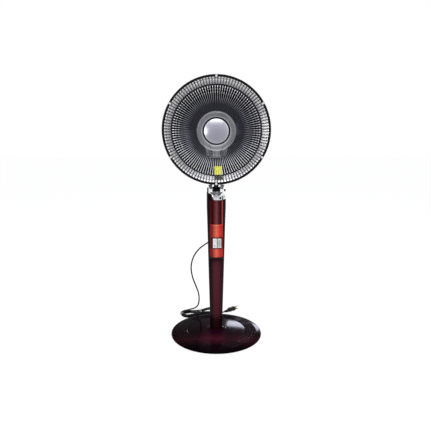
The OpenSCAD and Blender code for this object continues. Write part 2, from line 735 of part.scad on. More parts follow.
// The free stretch ends square on the hank's first end, and the tail starts square on its last
hank_start = hank_points[0];
hank_end = hank_points[len(hank_points) - 1];
free_route = curve(concat(free_points, [hank_start + 16 * hank_in, hank_start]), 3);
plug_dir = [cos(plug_turn), sin(plug_turn), 0];
plug_tip = [plug_at[0], plug_at[1], plug_z] - (plug_size[2] / 2 + plug_neck_len) * plug_dir;
tail_route = curve(concat([hank_end, hank_end + 12 * hank_out], tail_points,
    [plug_tip - 14 * plug_dir, plug_tip - 6 * plug_dir, plug_tip]), 3);

// Lengths of the three stretches of the cord
function path_len(p, i = 1) = i >= len(p) ? 0 : norm(p[i] - p[i - 1]) + path_len(p, i + 1);
echo("cord lengths, mm", path_len(free_route), path_len(hank_points), path_len(tail_route));

module cord_free() color([0.06, 0.06, 0.06]) tube(free_route, cord_r, 8);
module cord_hank() color([0.06, 0.06, 0.06]) tube(hank_points, cord_r, 6);
module cord_tail() color([0.06, 0.06, 0.06]) tube(tail_route, cord_r, 8);

module cord_tie() color([0.12, 0.12, 0.13]) translate([hank_at[0], hank_at[1], 0]) rotate(hank_turn) {
    inner = hank_z[1] - hank_z[0] + cord_d + 0.4;
    reach = hank_r(hank_reverse - 1.5) - hank_draw + cord_r + 1;
    bottom = hank_z[0] - cord_r - 0.2 - tie_t;
    translate([-tie_w / 2, 0, 0]) rotate([90, 0, 90]) difference() {
        translate([-reach - tie_t, bottom]) linear_extrude(tie_w) square([2 * (reach + tie_t), inner + 2 * tie_t]);
        translate([-reach, bottom + tie_t, -eps]) linear_extrude(tie_w + 2 * eps) square([2 * reach, inner]);
    }
}

// Places the plug's frame: Z runs from the cord to the pins
module on_plug() translate([plug_at[0], plug_at[1], plug_z]) rotate(plug_turn) rotate([90, 0, 90]) children();

module mains_plug() color([0.07, 0.07, 0.07]) on_plug() {
    w = plug_size[0];
    h = plug_size[1];
    translate([0, 0, -plug_size[2] / 2]) linear_extrude(plug_size[2]) hull() {
        for (s = [-1, 1]) translate([s * (w / 2 - 8), 0]) circle(r = 8, $fn = 32);
        translate([-(w - 12) / 2, -plug_flat]) square([w - 12, h - 4]);
    }
    translate([0, 0, -plug_size[2] / 2 - plug_neck_len])
        cylinder(r1 = gland_tip_r, r2 = 8, h = plug_neck_len);
}

module plug_pins() color([0.8, 0.72, 0.45]) on_plug() translate([0, 0, plug_size[2] / 2]) {
    for (s = [-1, 1]) translate([s * 6.35 - 0.75, -3.2, 0]) cube([1.5, 6.4, pin_len]);
    translate([0, 8, 0]) cylinder(d = 4.8, h = pin_len + 3);
}

// ---------------------------------------------------------------- swing drive

module motor_bracket() color([0.62, 0.63, 0.65]) {
    difference() {
        union() {
            translate([0, 0, shelf_z0]) cylinder(r = shelf_r, h = shelf_t);
            translate([0, 0, shelf_z0 - collar_len]) cylinder(d = pole_d + 2 * collar_wall, h = collar_len);
        }
        translate([0, 0, shelf_z0 - collar_len - eps]) cylinder(d = pole_d + 2 * run, h = collar_len + eps);
        translate([0, -motor_y, shelf_z0 - eps]) cylinder(r = 5, h = shelf_t + 2 * eps);
    }
    difference() {
        translate([0, 0, top_plate_z1 - top_plate_t]) cylinder(r = shelf_r, h = top_plate_t);
        translate([0, 0, top_plate_z1 - top_plate_t - eps]) cylinder(r = bush_r + run, h = top_plate_t + 2 * eps);
    }
    for (s = [-1, 1]) translate([s * leg_x - leg_t / 2, -leg_w / 2, shelf_z0 + shelf_t / 2])
        cube([leg_t, leg_w, top_plate_z1 - top_plate_t / 2 - shelf_z0 - shelf_t / 2]);
}

module swing_motor() color([0.72, 0.73, 0.74]) {
    translate([0, motor_y, shelf_z1]) cylinder(d = motor_d, h = motor_h);
    translate([0, gear_centres, shelf_z1]) cylinder(d = motor_shaft_d, h = gear_z1 - shelf_z1 + 0.5);
}

// Involute tooth: half its angle at a radius, for a pitch radius and tooth count
function inv(a) = tan(a) * 180 / PI - a;
function half_tooth(r, pitch_r, teeth) = let(base = pitch_r * cos(20), a = r <= base ? 0 : acos(base / r))
    90 / teeth * 0.9 + inv(20) - inv(a);

module gear_outline(teeth, turn) {
    pitch_r = gear_module * teeth / 2;
    root = pitch_r - 1.15 * gear_module;
    tip = pitch_r + 0.8 * gear_module;
    base = pitch_r * cos(20);
    rs = [root, max(root + 0.05, base), (max(root, base) + pitch_r) / 2, pitch_r, (pitch_r + tip) / 2, tip];
    polygon([for (i = [0:teeth - 1]) each concat(
        [for (r = rs) r * [cos(turn + i * 360 / teeth - half_tooth(r, pitch_r, teeth)),
            sin(turn + i * 360 / teeth - half_tooth(r, pitch_r, teeth))]],
        [for (k = [len(rs) - 1:-1:0]) let(r = rs[k])
            r * [cos(turn + i * 360 / teeth + half_tooth(r, pitch_r, teeth)),
                sin(turn + i * 360 / teeth + half_tooth(r, pitch_r, teeth))]])]);
}

module motor_pinion() color([0.9, 0.88, 0.8]) translate([0, gear_centres, gear_z0]) difference() {
    linear_extrude(gear_t) gear_outline(pinion_teeth, 270 + 180 / pinion_teeth);
    translate([0, 0, -eps]) cylinder(d = motor_shaft_d + 2 * run, h = gear_t + 2 * eps);
}

module swing_gear() color([0.9, 0.88, 0.8]) translate([0, 0, gear_z0]) difference() {
    linear_extrude(gear_t) gear_outline(gear_teeth, 90);
    translate([0, 0, -eps]) cylinder(d = shaft_d + 2 * run, h = gear_t + 2 * eps);
}

module swing_bush() color([0.93, 0.92, 0.88]) difference() {
    union() {
        translate([0, 0, bush_z0]) cylinder(r = bush_r, h = bush_len);
        translate([0, 0, top_plate_z1]) cylinder(r = bush_flange_r, h = bush_flange_t);
    }
    translate([0, 0, bush_z0 - eps]) cylinder(d = shaft_d + 2 * run, h = bush_len + 2 * eps);
}

module thrust_washer() color([0.15, 0.15, 0.16]) translate([0, 0, washer_z0]) difference() {
    cylinder(r = bush_flange_r, h = washer_t);
    translate([0, 0, -eps]) cylinder(d = shaft_d + 2 * run, h = washer_t + 2 * eps);
}

module swing_shaft() color([0.7, 0.71, 0.73]) difference() {
    union() {
        translate([0, 0, shaft_z0]) cylinder(d = shaft_d, h = neck_z0 + 6 - shaft_z0);
        translate([0, 0, neck_z0 - shaft_flange_t]) cylinder(r = shaft_flange_r, h = shaft_flange_t);
    }
    translate([0, 0, shaft_z0 - eps]) cylinder(d = shaft_bore, h = neck_z0 + 6 - shaft_z0 + 2 * eps);
    translate([0, 0, gear_z0 - clip_t]) difference() {
        cylinder(d = shaft_d + eps, h = clip_t);
        translate([0, 0, -eps]) cylinder(d = shaft_d - 1.6, h = clip_t + 2 * eps);
    }
    neck_screw_places() translate([0, 0, neck_z0 - shaft_flange_t - eps])
        cylinder(d = 3 + 2 * run, h = shaft_flange_t + 2 * eps);
    neck_screw_places() translate([0, 0, neck_z0 - shaft_flange_t - eps]) cylinder(d = 6, h = 1.4 + eps);
}

module shaft_clip() color([0.5, 0.5, 0.52]) translate([0, 0, gear_z0 - clip_t + 0.1]) difference() {
    cylinder(r = shaft_d / 2 + 2.5, h = clip_t - 0.2);
    translate([0, 0, -eps]) cylinder(d = shaft_d - 1.6 + 2 * run, h = clip_t + 2 * eps);
    translate([-2, 0, -eps]) cube([4, shaft_d, clip_t + 2 * eps]);
}

module neck_screw_places() for (i = [0:2]) rotate(30 + i * 120) translate([neck_screw_pcd_r, 0, 0]) children();

module neck_screws() color([0.6, 0.6, 0.62]) neck_screw_places() {
    translate([0, 0, neck_z0 - shaft_flange_t + 0.3]) cylinder(d = 5.6, h = 1);
    translate([0, 0, neck_z0 - shaft_flange_t + 0.3]) cylinder(d = 3, h = 11);
}

// ---------------------------------------------------------------- neck

// Side outline of the neck: upright walls, a shoulder and a round top about the tilt axis
module ear_outline() {
    shoulder = tilt_z - ear_r + 4;
    polygon(concat([[neck_r + 1, neck_z0], [neck_r + 1, shoulder]],
        arc([0, tilt_z], ear_r, -8, 188, 3 * steps),
        [[-neck_r - 1, shoulder], [-neck_r - 1, neck_z0]]));
}

module neck() color([0.86, 0.87, 0.88]) difference() {
    intersection() {
        translate([0, 0, neck_z0]) cylinder(r = neck_r, h = tilt_z + ear_r + eps - neck_z0);
        rotate([90, 0, 90]) linear_extrude(2 * neck_r + 2, center = true) ear_outline();
    }
    // slot for the knuckle
    on_tilt_axis() cylinder(r = slot_r, h = 2 * slot_half, center = true);
    translate([-slot_half, -neck_r - eps, tilt_z - 3]) cube([2 * slot_half, 2 * neck_r + 2 * eps, ear_r + 5]);
    // flats on the ears
    for (s = [-1, 1]) translate([s > 0 ? flat_x : -flat_x - 20, -neck_r - eps, tilt_z - knob_d / 2 - 2])
        cube([20, 2 * neck_r + 2 * eps, knob_d + ear_r]);
    on_tilt_axis() cylinder(d = tilt_bolt_d + 4 * run, h = 2 * neck_r + 2 * eps, center = true);
    // hollows on both sides of the core, open below
    for (s = [-1, 1]) intersection() {
        translate([0, 0, neck_z0 - eps]) cylinder(r = neck_r - neck_wall, h = tilt_z - 18 - neck_z0);
        translate([s > 0 ? neck_core : -neck_core - 20, -neck_r, neck_z0 - eps])
            cube([20, 2 * neck_r, tilt_z - 18 - neck_z0]);
    }
    translate([0, 0, neck_z0 - eps]) cylinder(d = shaft_d + 2 * run, h = 6 + eps + fit);
    translate([0, 0, neck_z0]) cylinder(d = shaft_bore + 3, h = tilt_z - neck_z0);
    neck_screw_places() translate([0, 0, neck_z0 - eps]) cylinder(d = 3 + 2 * run, h = 9.5 + eps);
}

module tilt_bolt() color([0.12, 0.12, 0.13]) on_tilt_axis() {
    translate([0, 0, -flat_x - knob_t]) cylinder(d = tilt_bolt_d, h = 2 * flat_x + knob_t + 1);
    translate([0, 0, flat_x]) cylinder(r = bolt_head[0], h = bolt_head[1] - 2);
    translate([0, 0, flat_x + bolt_head[1] - 2]) cylinder(r1 = bolt_head[0], r2 = bolt_head[0] - 1.5, h = 2);
}

module tilt_knob() color([0.07, 0.07, 0.07]) on_tilt_axis() translate([0, 0, -flat_x - fit - knob_t]) difference() {
    cylinder(d = knob_d, h = knob_t);
    for (i = [0:11]) rotate(i * 30) translate([knob_d / 2 + 0.8, 0, -eps]) cylinder(d = 3.4, h = knob_t + 2 * eps, $fn = 24);
    translate([0, 0, -eps]) cylinder(d = tilt_bolt_d + 4 * run, h = knob_t + 2 * eps);
}

// Side outline of the arm, which leans back to pass behind the pan
module arm_outline() polygon([[-12, tilt_z + 8], [-12, tilt_z + 92], [-5, tilt_z + 112],
    [18, head_z - housing_r - 1.5], [52, head_z - housing_r - 1.5], [46, tilt_z + 128],
    [24, tilt_z + 96], [12, tilt_z + 70], [12, tilt_z + 8]]);

module tilt_arm() color([0.06, 0.06, 0.06]) difference() {
    union() {
        on_tilt_axis() rotate_extrude() polygon([[0, -knuckle_w / 2], [knuckle_r - 3, -knuckle_w / 2],
            [knuckle_r, -knuckle_w / 2 + 5], [knuckle_r, knuckle_w / 2 - 5],
            [knuckle_r - 3, knuckle_w / 2], [0, knuckle_w / 2]]);
        translate([0, 0, tilt_z + 7]) cylinder(r1 = knuckle_r - 2, r2 = arm_w / 2, h = 22);
        rotate([90, 0, 90]) linear_extrude(arm_w, center = true) arm_outline();
        on_head() translate([0, 0, -saddle_back]) rotate([0, 0, 270 - saddle_half])
            rotate_extrude(angle = 2 * saddle_half) translate([housing_r + 0.1, 0]) square([saddle_t, saddle_len]);
    }
    on_tilt_axis() cylinder(d = tilt_bolt_d + 2 * run + 0.02, h = knuckle_w + 2 * eps, center = true);
    arm_screw_places() translate([0, 0, -1]) cylinder(d = 3 + 2 * run, h = saddle_t + 6);
}

// Places the arm's screws: Z points from the saddle into the rear housing
module arm_screw_places() for (a = [-13, 13], h = [-52, -28]) on_head() rotate([0, 0, 270 + a])
    translate([housing_r + saddle_t + 0.1, 0, h]) rotate([0, -90, 0]) children();

module arm_screws() color([0.6, 0.6, 0.62]) arm_screw_places() {
    translate([0, 0, -1.8]) cylinder(r = 3, h = 1.8);
    cylinder(d = 3, h = saddle_t + housing_wall + 3);
}

// ---------------------------------------------------------------- rear of the head

housing_front = pan_h(housing_r - housing_wall) - sheet_t - fit;

module housing_screw_places() for (i = [0:3]) rotate(45 + i * 90) translate([post_pcd_r, 0, 0]) children();

module rear_housing() color([0.15, 0.05, 0.07]) on_head() difference() {
    union() {
        rotate_extrude() polygon(concat(
            [[0, housing_back], [housing_r - 16, housing_back]],
            arc([housing_r - 16, housing_back + 16], 16, -90, 0, steps),
            [[housing_r, pan_h(housing_r) - sheet_t - fit], [housing_r - housing_wall, housing_front]],
            arc([housing_r - 16, housing_back + 16], 16 - housing_wall, 0, -90, steps),
            [[0, housing_back + housing_wall]]));
        housing_screw_places() translate([0, 0, housing_back + housing_wall / 2])
            cylinder(r = post_r, h = pan_flat_h - sheet_t - housing_back - housing_wall / 2);
    }
    housing_screw_places() {
        translate([0, 0, housing_back - eps]) cylinder(r = housing_head[0] + 0.5, h = screw_seat_h - housing_back + eps);
        translate([0, 0, housing_back]) cylinder(d = housing_screw_d + 2 * run, h = 80);
    }
    for (i = [-4:4]) translate([i * 7, 0, housing_back - eps]) linear_extrude(housing_wall + 2 * eps)
        square([3, 46 - abs(i) * 4], center = true);
    for (a = [-2:2]) rotate(90 + a * 12) translate([housing_r - 6, -1.5, housing_back + 20]) cube([12, 3, 26]);
    for (a = [-13, 13], h = [-52, -28]) rotate([0, 0, 270 + a]) translate([housing_r - 8, 0, h])
        rotate([0, 90, 0]) cylinder(d = 3 + 2 * run, h = 12);
}

module housing_screws() color([0.6, 0.6, 0.62]) on_head() housing_screw_places() {
    translate([0, 0, screw_seat_h]) cylinder(d = housing_screw_d, h = housing_screw_len);
    translate([0, 0, screw_seat_h - housing_head[1]]) cylinder(r = housing_head[0], h = housing_head[1]);
}

module rear_pan() color([0.1, 0.1, 0.11]) on_head() difference() {
    rs = concat([0, pan_flat_r], [for (i = [0:steps]) pan_blend_r + (bowl_r - pan_blend_r) * i / steps]);
    rotate_extrude() polygon(concat(
        [for (r = rs) [r, pan_h(r)]],
        [[pan_edge_r, pan_lip_h + sheet_t], [lip_r, pan_lip_h + sheet_t], [lip_r, pan_lip_h],
            [pan_edge_r + 0.8, pan_lip_h], [bowl_r + 0.8, pan_h(bowl_r) - sheet_t]],
        [for (i = [len(rs) - 1:-1:0]) [rs[i], pan_h(rs[i]) - sheet_t]]));
    translate([0, 0, pan_flat_h - 2 * eps]) cylinder(r = pan_hole_r, h = 4 * eps);
    housing_screw_places() translate([0, 0, pan_flat_h - 2 * eps]) cylinder(d = housing_screw_d + 2 * run, h = 4 * eps);
    for (i = [0:pan_slots - 1]) rotate((i + 0.5) * 360 / pan_slots)
        translate([112, -2, pan_h(112) - 20]) cube([34, 4, 60]);
}

module terminal_block() color([0.93, 0.9, 0.84]) on_head()
    translate([0, block_y, pan_flat_h - sheet_t - block_size[2]]) difference() {
        translate([-block_size[0] / 2, -block_size[1] / 2, 0]) cube(block_size);
        for (s = [-1, 1], t = [-1, 1]) translate([s * 9, t * 4, -eps]) cylinder(d = 4, h = 6 + eps);
    }

module thermal_cutout() color([0.75, 0.72, 0.6]) on_head() {
    translate([0, 0, bowl_vertex_h - sheet_t - 0.1 - 2]) cylinder(r = cutout_r + 2, h = 2);
    translate([0, 0, bowl_vertex_h - sheet_t - 0.1 - cutout_t]) cylinder(r = cutout_r, h = cutout_t - 1);
}

// ---------------------------------------------------------------- dish and rim

module reflector_dish() color([0.78, 0.79, 0.82]) on_head() difference() {
    rs = [for (i = [0:2 * steps]) bowl_r * i / (2 * steps)];
    rotate_extrude() polygon(concat(
        [for (r = rs) [r, bowl_h(r)]],
        [[zone_r0, zone_h0], [zone_r1, dish_lip_h + sheet_t], [lip_r, dish_lip_h + sheet_t],
            [lip_r, dish_lip_h], [zone_r1 + 0.5, dish_lip_h], [zone_r0 + 0.5, zone_h0 - sheet_t],
            [bowl_r + 0.5, bowl_edge_h - sheet_t]],
        [for (i = [len(rs) - 1:-1:0]) [rs[i], bowl_h(rs[i]) - sheet_t]]));
    lead_places() translate([0, 0, -60]) cylinder(r = lead_d / 2 + 2, h = 90);
    stand_screw_places() translate([0, 0, -60]) cylinder(d = 4 + 2 * run, h = 90);
}

module rim_band() color([0.04, 0.04, 0.04]) on_head() rotate_extrude()
    polygon([[lip_r - 1.2, rim_h0], [rim_r - 1, rim_h0], [rim_r, rim_h0 + 1], [rim_r, rim_h1 - 1],
        [rim_r - 1, rim_h1], [rim_r - rim_lip_w, rim_h1], [rim_r - rim_lip_w, rim_lip_h],
        [rim_r - rim_wall, rim_lip_h],
        [rim_r - rim_wall, rim_h0 + rim_lip_t], [lip_r - 1.2, rim_h0 + rim_lip_t]]);

module rim_clips() color([0.85, 0.86, 0.87]) on_head() for (i = [0:clip_count - 1])
    rotate(90 + i * 360 / clip_count - clip_w / rim_r * 90 / PI) rotate_extrude(angle = clip_w / rim_r * 180 / PI)
        polygon([[lip_r - 3, rim_h0 - 1.2], [rim_r + 1.3, rim_h0 - 1.2], [rim_r + 1.3, rim_h1 + 1.2],
            [rim_r - rim_lip_w - 1.5, rim_h1 + 1.2], [rim_r - rim_lip_w - 1.5, rim_h1 + 0.2],
            [rim_r + 0.2, rim_h1 + 0.2],
            [rim_r + 0.2, rim_h0 - 0.2], [lip_r - 3, rim_h0 - 0.2]]);

// ---------------------------------------------------------------- guard and badge

// Middle line of a guard wire at the given angle: it lies on the front of the rings
function wire_h(r) = guard_h(r) + ((ring_d + wire_d) / 2 + wire_gap)
    * sqrt(1 + pow(3 * guard_rise * r * r / pow(guard_r, 3), 2));
function wire_line(a) = [for (r = wire_stops) [r * cos(a), r * sin(a), wire_h(r)]];

// A small plate welded across two neighbouring wires
module wire_tab(r, a) rotate(a) hull() for (s = [-1, 1], t = [-1, 1])
    translate([r + s * wire_d, t * 7, wire_h(r) - s * wire_d * 0.4 - 0.3]) cube([0.2, 0.2, wire_d / 2], center = true);

module guard_wires() color([0.8, 0.81, 0.83]) on_head() union() {
    for (i = [0:wire_count - 1]) tube(wire_line((i + 0.5) * 360 / wire_count), wire_d / 2, 4);
    for (i = [0:clip_count - 1]) wire_tab(guard_r - 5, 90 + i * 360 / clip_count);
    for (i = [0:2]) wire_tab(hub_ring_r + 5, 30 + i * 120);
}

module guard_rings() color([0.8, 0.81, 0.83]) on_head() for (r = [guard_r, mid_ring_r, hub_ring_r])
    rotate_extrude() translate([r, guard_h(r)]) circle(d = ring_d, $fn = 24);

module badge() color([0.75, 0.76, 0.8]) on_head() {
    // a dome of the given crown over the badge's radius
    dome_r = (badge_r * badge_r + badge_crown * badge_crown) / (2 * badge_crown);
    half_angle = asin(badge_r / dome_r);
    rotate_extrude() polygon(concat([[0, badge_h0 + badge_crown + 1.5]],
        [for (i = [1:steps]) let(a = half_angle * i / steps)
            [dome_r * sin(a), badge_h0 + 1.5 + badge_crown - dome_r + dome_r * cos(a)]],
        [[badge_r, badge_h0], [badge_r - badge_wall, badge_h0]],
        [for (i = [steps - 1:-1:0]) let(a = half_angle * i / steps)
            [(badge_r - badge_wall) / badge_r * dome_r * sin(a),
                badge_h0 + badge_crown - 1 - dome_r + dome_r * cos(a)]]));
    translate([0, 0, clamp_h1]) difference() {
        cylinder(r = 6, h = badge_h0 + badge_crown - clamp_h1);
        translate([0, 0, -eps]) cylinder(d = 4 + 2 * run, h = 12);
    }
}

module badge_clamp() color([0.6, 0.61, 0.63]) on_head() translate([0, 0, clamp_h1 - clamp_t]) difference() {
    cylinder(r = clamp_r, h = clamp_t);
    translate([0, 0, -eps]) cylinder(d = 4 + 2 * run, h = clamp_t + 2 * eps);
}

module badge_screw() color([0.6, 0.6, 0.62]) on_head() {
    translate([0, 0, clamp_h1 - clamp_t - 2]) cylinder(r = 4, h = 2);
    translate([0, 0, clamp_h1 - clamp_t - 2]) cylinder(d = 4, h = 12);
}

// ---------------------------------------------------------------- heating tube

// Half of what the keyhole-shaped line runs through below its ring: places for the bend, the leg and
// the two joints
module bend_place() translate([bend_at[0], bend_at[1], 0]) rotate(90 + tube_open + bend_cut) children();
module leg_place() translate([leg_top[0], leg_top[1], 0]) rotate([0, 0, -leg_slope]) rotate([90, 0, 0])
    translate([0, 0, fuse_gap]) children();
module joint_places() for (p = [[arc_end, tube_open], [leg_top, leg_slope]])
    translate([p[0][0], p[0][1], 0]) rotate([0, 0, -p[1]]) rotate([90, 0, 0]) children();

module tube_section(d, bore) difference() {
    circle(d = d, $fn = 48);
    circle(d = bore, $fn = 48);
}

// A short round sleeve, centred on its place
module sleeve(d, bore, len) translate([0, 0, -len / 2]) difference() {
    cylinder(d = d, h = len, $fn = 48);
    translate([0, 0, -eps]) cylinder(d = bore, h = len + 2 * eps, $fn = 48);
}

// The keyhole-shaped quartz tube: a ring open below, two bends and two legs, fused end to end
module heating_tube() color([0.9, 0.9, 0.92, 0.6]) on_head() translate([0, 0, tube_h]) {
    bore = tube_d - 2 * tube_wall;
    rotate(270 + tube_open + ring_cut) rotate_extrude(angle = 360 - 2 * (tube_open + ring_cut))
        translate([tube_ring_r, 0]) tube_section(tube_d, bore);
    for (s = [0, 1]) mirror([s, 0, 0]) {
        bend_place() rotate_extrude(angle = 90 - tube_open - leg_slope - 2 * bend_cut)
            translate([tube_bend_r, 0]) tube_section(tube_d, bore);
        leg_place() translate([0, 0, (leg_len - fuse_gap) / 2]) sleeve(tube_d, bore, leg_len - fuse_gap);
        joint_places() sleeve(tube_d + fuse_bead, bore - 0.1, 2);
    }
}

module filament() color([0.2, 0.19, 0.2]) on_head() translate([0, 0, tube_h]) {
    rotate(270 + tube_open + ring_cut) rotate_extrude(angle = 360 - 2 * (tube_open + ring_cut))
        translate([tube_ring_r, 0]) circle(d = filament_d);
    for (s = [0, 1]) mirror([s, 0, 0]) {
        bend_place() rotate_extrude(angle = 90 - tube_open - leg_slope - 2 * bend_cut)
            translate([tube_bend_r, 0]) circle(d = filament_d);
        leg_place() cylinder(d = filament_d, h = leg_len - fuse_gap);
        for (p = [arc_end, leg_top]) translate([p[0], p[1], 0]) sphere(d = filament_d + fuse_bead);
    }
}

// Places the tube's two end caps: Z runs along the leg, away from the ring
module cap_places() for (s = [0, 1]) mirror([s, 0, 0]) translate([leg_end[0], leg_end[1], tube_h])
    rotate([0, 0, -leg_slope]) rotate([90, 0, 0]) children();

module tube_caps() color([0.93, 0.91, 0.86]) on_head() cap_places() difference() {
    translate([0, 0, -cap_over]) cylinder(r = cap_r, h = cap_len);
    translate([0, 0, -cap_over - eps]) cylinder(d = tube_d + 2 * run, h = cap_over + eps);
}

module lead_places() for (s = [-1, 1]) translate([s * (leg_end[0] - 1), leg_end[1] - 4, 0]) children();

module tube_leads() color([0.7, 0.7, 0.68]) on_head() lead_places()
    translate([0, 0, bowl_h(norm(leg_end)) - sheet_t - 5]) cylinder(d = lead_d,
        h = tube_h - cap_r - 0.1 - bowl_h(norm(leg_end)) + sheet_t + 5);

module stand_screw_places() for (s = [-1, 1]) translate([s * 7, stand_screw_y, 0]) children();

module tube_stand() color([0.9, 0.88, 0.82]) on_head() difference() {
    translate([-stand_w / 2, leg_end[1] + 2, -30]) cube([stand_w, holder_top - leg_end[1] - 8, 30 + stand_front]);
    // the stand's foot follows the bowl
    rotate_extrude() polygon(concat([[0, -60]], [[bowl_r, -60]],
        [for (i = [2 * steps:-1:0]) let(r = bowl_r * i / (2 * steps)) [r, bowl_h(r) + fit]]));
    stand_screw_places() translate([0, 0, stand_screw_back])
        cylinder(d = 4 + 2 * run, h = stand_screw_len + 1);
}

module stand_screws() color([0.6, 0.6, 0.62]) on_head() stand_screw_places() {
    translate([0, 0, stand_screw_back]) cylinder(d = 4, h = stand_screw_len);
    translate([0, 0, stand_screw_back]) cylinder(r = stand_screw_head[0], h = stand_screw_head[1]);
}

module holder_plate() color([0.72, 0.73, 0.76]) on_head() {
    half_top = leg_top[0] - tube_d / 2 - 3;
    half_low = cap_in - fuse_gap;
    low = leg_end[1] - cap_len + cap_over - 4;
    translate([0, 0, plate_front - holder_t]) linear_extrude(holder_t)
        polygon([[-half_top, holder_top], [half_top, holder_top], [half_low, leg_end[1] + cap_over],
            [half_low, low - holder_t / 2], [-half_low, low - holder_t / 2], [-half_low, leg_end[1] + cap_over]]);
    translate([-lip_half, low - holder_t, tube_h - cap_r]) cube([2 * lip_half, holder_t, 2 * cap_r]);
    translate([-stand_w / 2 + 2, leg_end[1] + 6, stand_front]) cube([stand_w - 4, 18, plate_front - holder_t / 2 - stand_front]);
}

base_cover();
base_weight();
bottom_plate();
base_feet();
bottom_screws();
tip_switch();
tip_plunger();
column_pole();
pole_bolts();
column_front();
column_rear();
column_screws();
window_panel();
control_plate();
switch_bezel();
heat_rocker();
swing_rocker();
switch_bodies();
cord_gland();
cord_free();
cord_hank();
cord_tail();
cord_tie();
mains_plug();
plug_pins();
motor_bracket();
swing_motor();
motor_pinion();
swing_bush();
thrust_washer();
swing_shaft();
swing_gear();
shaft_clip();
neck();
neck_screws();
tilt_bolt();
tilt_knob();
tilt_arm();
arm_screws();
rear_housing();
housing_screws();
rear_pan();
terminal_block();
thermal_cutout();
reflector_dish();
rim_band();
rim_clips();
guard_rings();
guard_wires();
badge();
badge_clamp();
badge_screw();
heating_tube();
filament();
tube_caps();
tube_leads();
tube_stand();
holder_plate();
stand_screws();
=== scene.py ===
"""Dresses the parabolic heater: its studio and cord first, then its guard, tube, trim and finishes."""

from __future__ import annotations

import json
import logging
import math
from collections.abc import Iterable, Iterator, Sequence
from contextlib import contextmanager
from dataclasses import dataclass
from enum import Enum

import bpy
from mathutils import Matrix, Vector
from mathutils.geometry import interpolate_bezier

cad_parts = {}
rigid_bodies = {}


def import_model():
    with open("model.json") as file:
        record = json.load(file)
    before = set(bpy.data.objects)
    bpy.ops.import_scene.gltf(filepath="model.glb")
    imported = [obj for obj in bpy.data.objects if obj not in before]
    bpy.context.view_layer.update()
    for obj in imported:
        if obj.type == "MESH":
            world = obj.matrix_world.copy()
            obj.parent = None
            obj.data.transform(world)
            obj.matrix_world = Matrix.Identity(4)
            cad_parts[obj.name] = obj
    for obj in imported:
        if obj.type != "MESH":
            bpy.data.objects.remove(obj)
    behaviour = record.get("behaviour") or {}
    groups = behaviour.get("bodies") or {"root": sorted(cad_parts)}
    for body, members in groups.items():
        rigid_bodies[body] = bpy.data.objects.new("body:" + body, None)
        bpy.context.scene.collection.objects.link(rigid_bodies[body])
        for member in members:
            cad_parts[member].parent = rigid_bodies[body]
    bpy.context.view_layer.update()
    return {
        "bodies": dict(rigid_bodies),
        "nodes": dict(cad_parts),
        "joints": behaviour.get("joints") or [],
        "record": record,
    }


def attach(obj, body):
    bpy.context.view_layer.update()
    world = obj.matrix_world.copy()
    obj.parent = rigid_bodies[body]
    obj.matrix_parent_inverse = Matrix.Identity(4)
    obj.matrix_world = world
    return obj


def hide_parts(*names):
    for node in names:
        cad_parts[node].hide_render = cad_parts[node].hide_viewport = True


LOG = logging.getLogger("heater")
MM = 0.001
MERGE_DISTANCE = 1e-6
SHARP_ANGLE, PLAIN_ANGLE, TUBE_ANGLE, COIL_ANGLE = 30.0, 35.0, 50.0, 60.0

Piece = bpy.types.Object
Socket = bpy.types.NodeSocket
Inputs = dict[str | int, object]
Colour = tuple[float, float, float]
Point = tuple[float, float, float]
Row = tuple[float, ...]
WHITE: Colour = (1.0, 1.0, 1.0)


# ---- bench helpers, which take sizes in millimetres


def shift(x: float, y: float, z: float) -> Matrix:
    """Moves by a step in millimetres."""
    return Matrix.Translation(Vector((x, y, z)) * MM)


def turned(degrees: float, axis: str) -> Matrix:
    """Turns by an angle about an axis."""
    return Matrix.Rotation(math.radians(degrees), 4, axis)


def evenly(first: float, last: float, steps: int) -> list[float]:
    """Gives evenly spaced values, both ends among them."""
    return [first + (last - first) * i / steps for i in range(steps + 1)]


def arc(x: float, y: float, radius: float, start: float, stop: float, steps: int) -> list[Row]:
    """Gives the points of an arc about a centre, between two angles in degrees."""
    angles = map(math.radians, evenly(start, stop, steps))
    return [(x + radius * math.cos(angle), y + radius * math.sin(angle)) for angle in angles]


HEAD_Z = 840.0
# the head's own frame: X to the right, Y up, Z forward
HEAD = shift(0, 0, HEAD_Z) @ turned(90, "X")
# the hank and the plug behind the base: their middles, and their turns about Z
HANK_AT, HANK_TURN = (-74.0, 216.0), 20.0
PLUG_AT, PLUG_TURN = (70.0, 243.0, 9.3), 40.0


def pick(*pieces: Piece) -> None:
    """Selects these pieces only, and makes the first one active.

    Args:
        pieces: The pieces to select.
    """
    bpy.ops.object.select_all(action="DESELECT")
    for piece in pieces:
        piece.select_set(True)
    bpy.context.view_layer.objects.active = pieces[0]


def named(piece: Piece, name: str) -> Piece:
    """Names a piece and its data."""
    piece.name = piece.data.name = name
    return piece


def settle(piece: Piece) -> None:
    """Applies the piece's place, turn and scale, so that its object sits at the origin."""
    pick(piece)
    bpy.ops.object.transform_apply(location=True, rotation=True, scale=True)


@contextmanager
def edit_mode() -> Iterator[None]:
    """Shapes the active piece in edit mode, with all of it selected at first."""
    bpy.ops.object.mode_set(mode="EDIT")
    bpy.ops.mesh.select_all(action="SELECT")
    yield
    bpy.ops.object.mode_set(mode="OBJECT")


def mend() -> None:
    """Merges doubles and turns all faces outwards, in edit mode."""
    bpy.ops.mesh.select_all(action="SELECT")
    bpy.ops.mesh.remove_doubles(threshold=MERGE_DISTANCE)
    bpy.ops.mesh.normals_make_consistent(inside=False)


def pull(x: float, y: float, z: float) -> None:
    """Extrudes what is selected by a step, in edit mode."""
    bpy.ops.mesh.extrude_region_move(TRANSFORM_OT_translate={"value": (x * MM, y * MM, z * MM)})


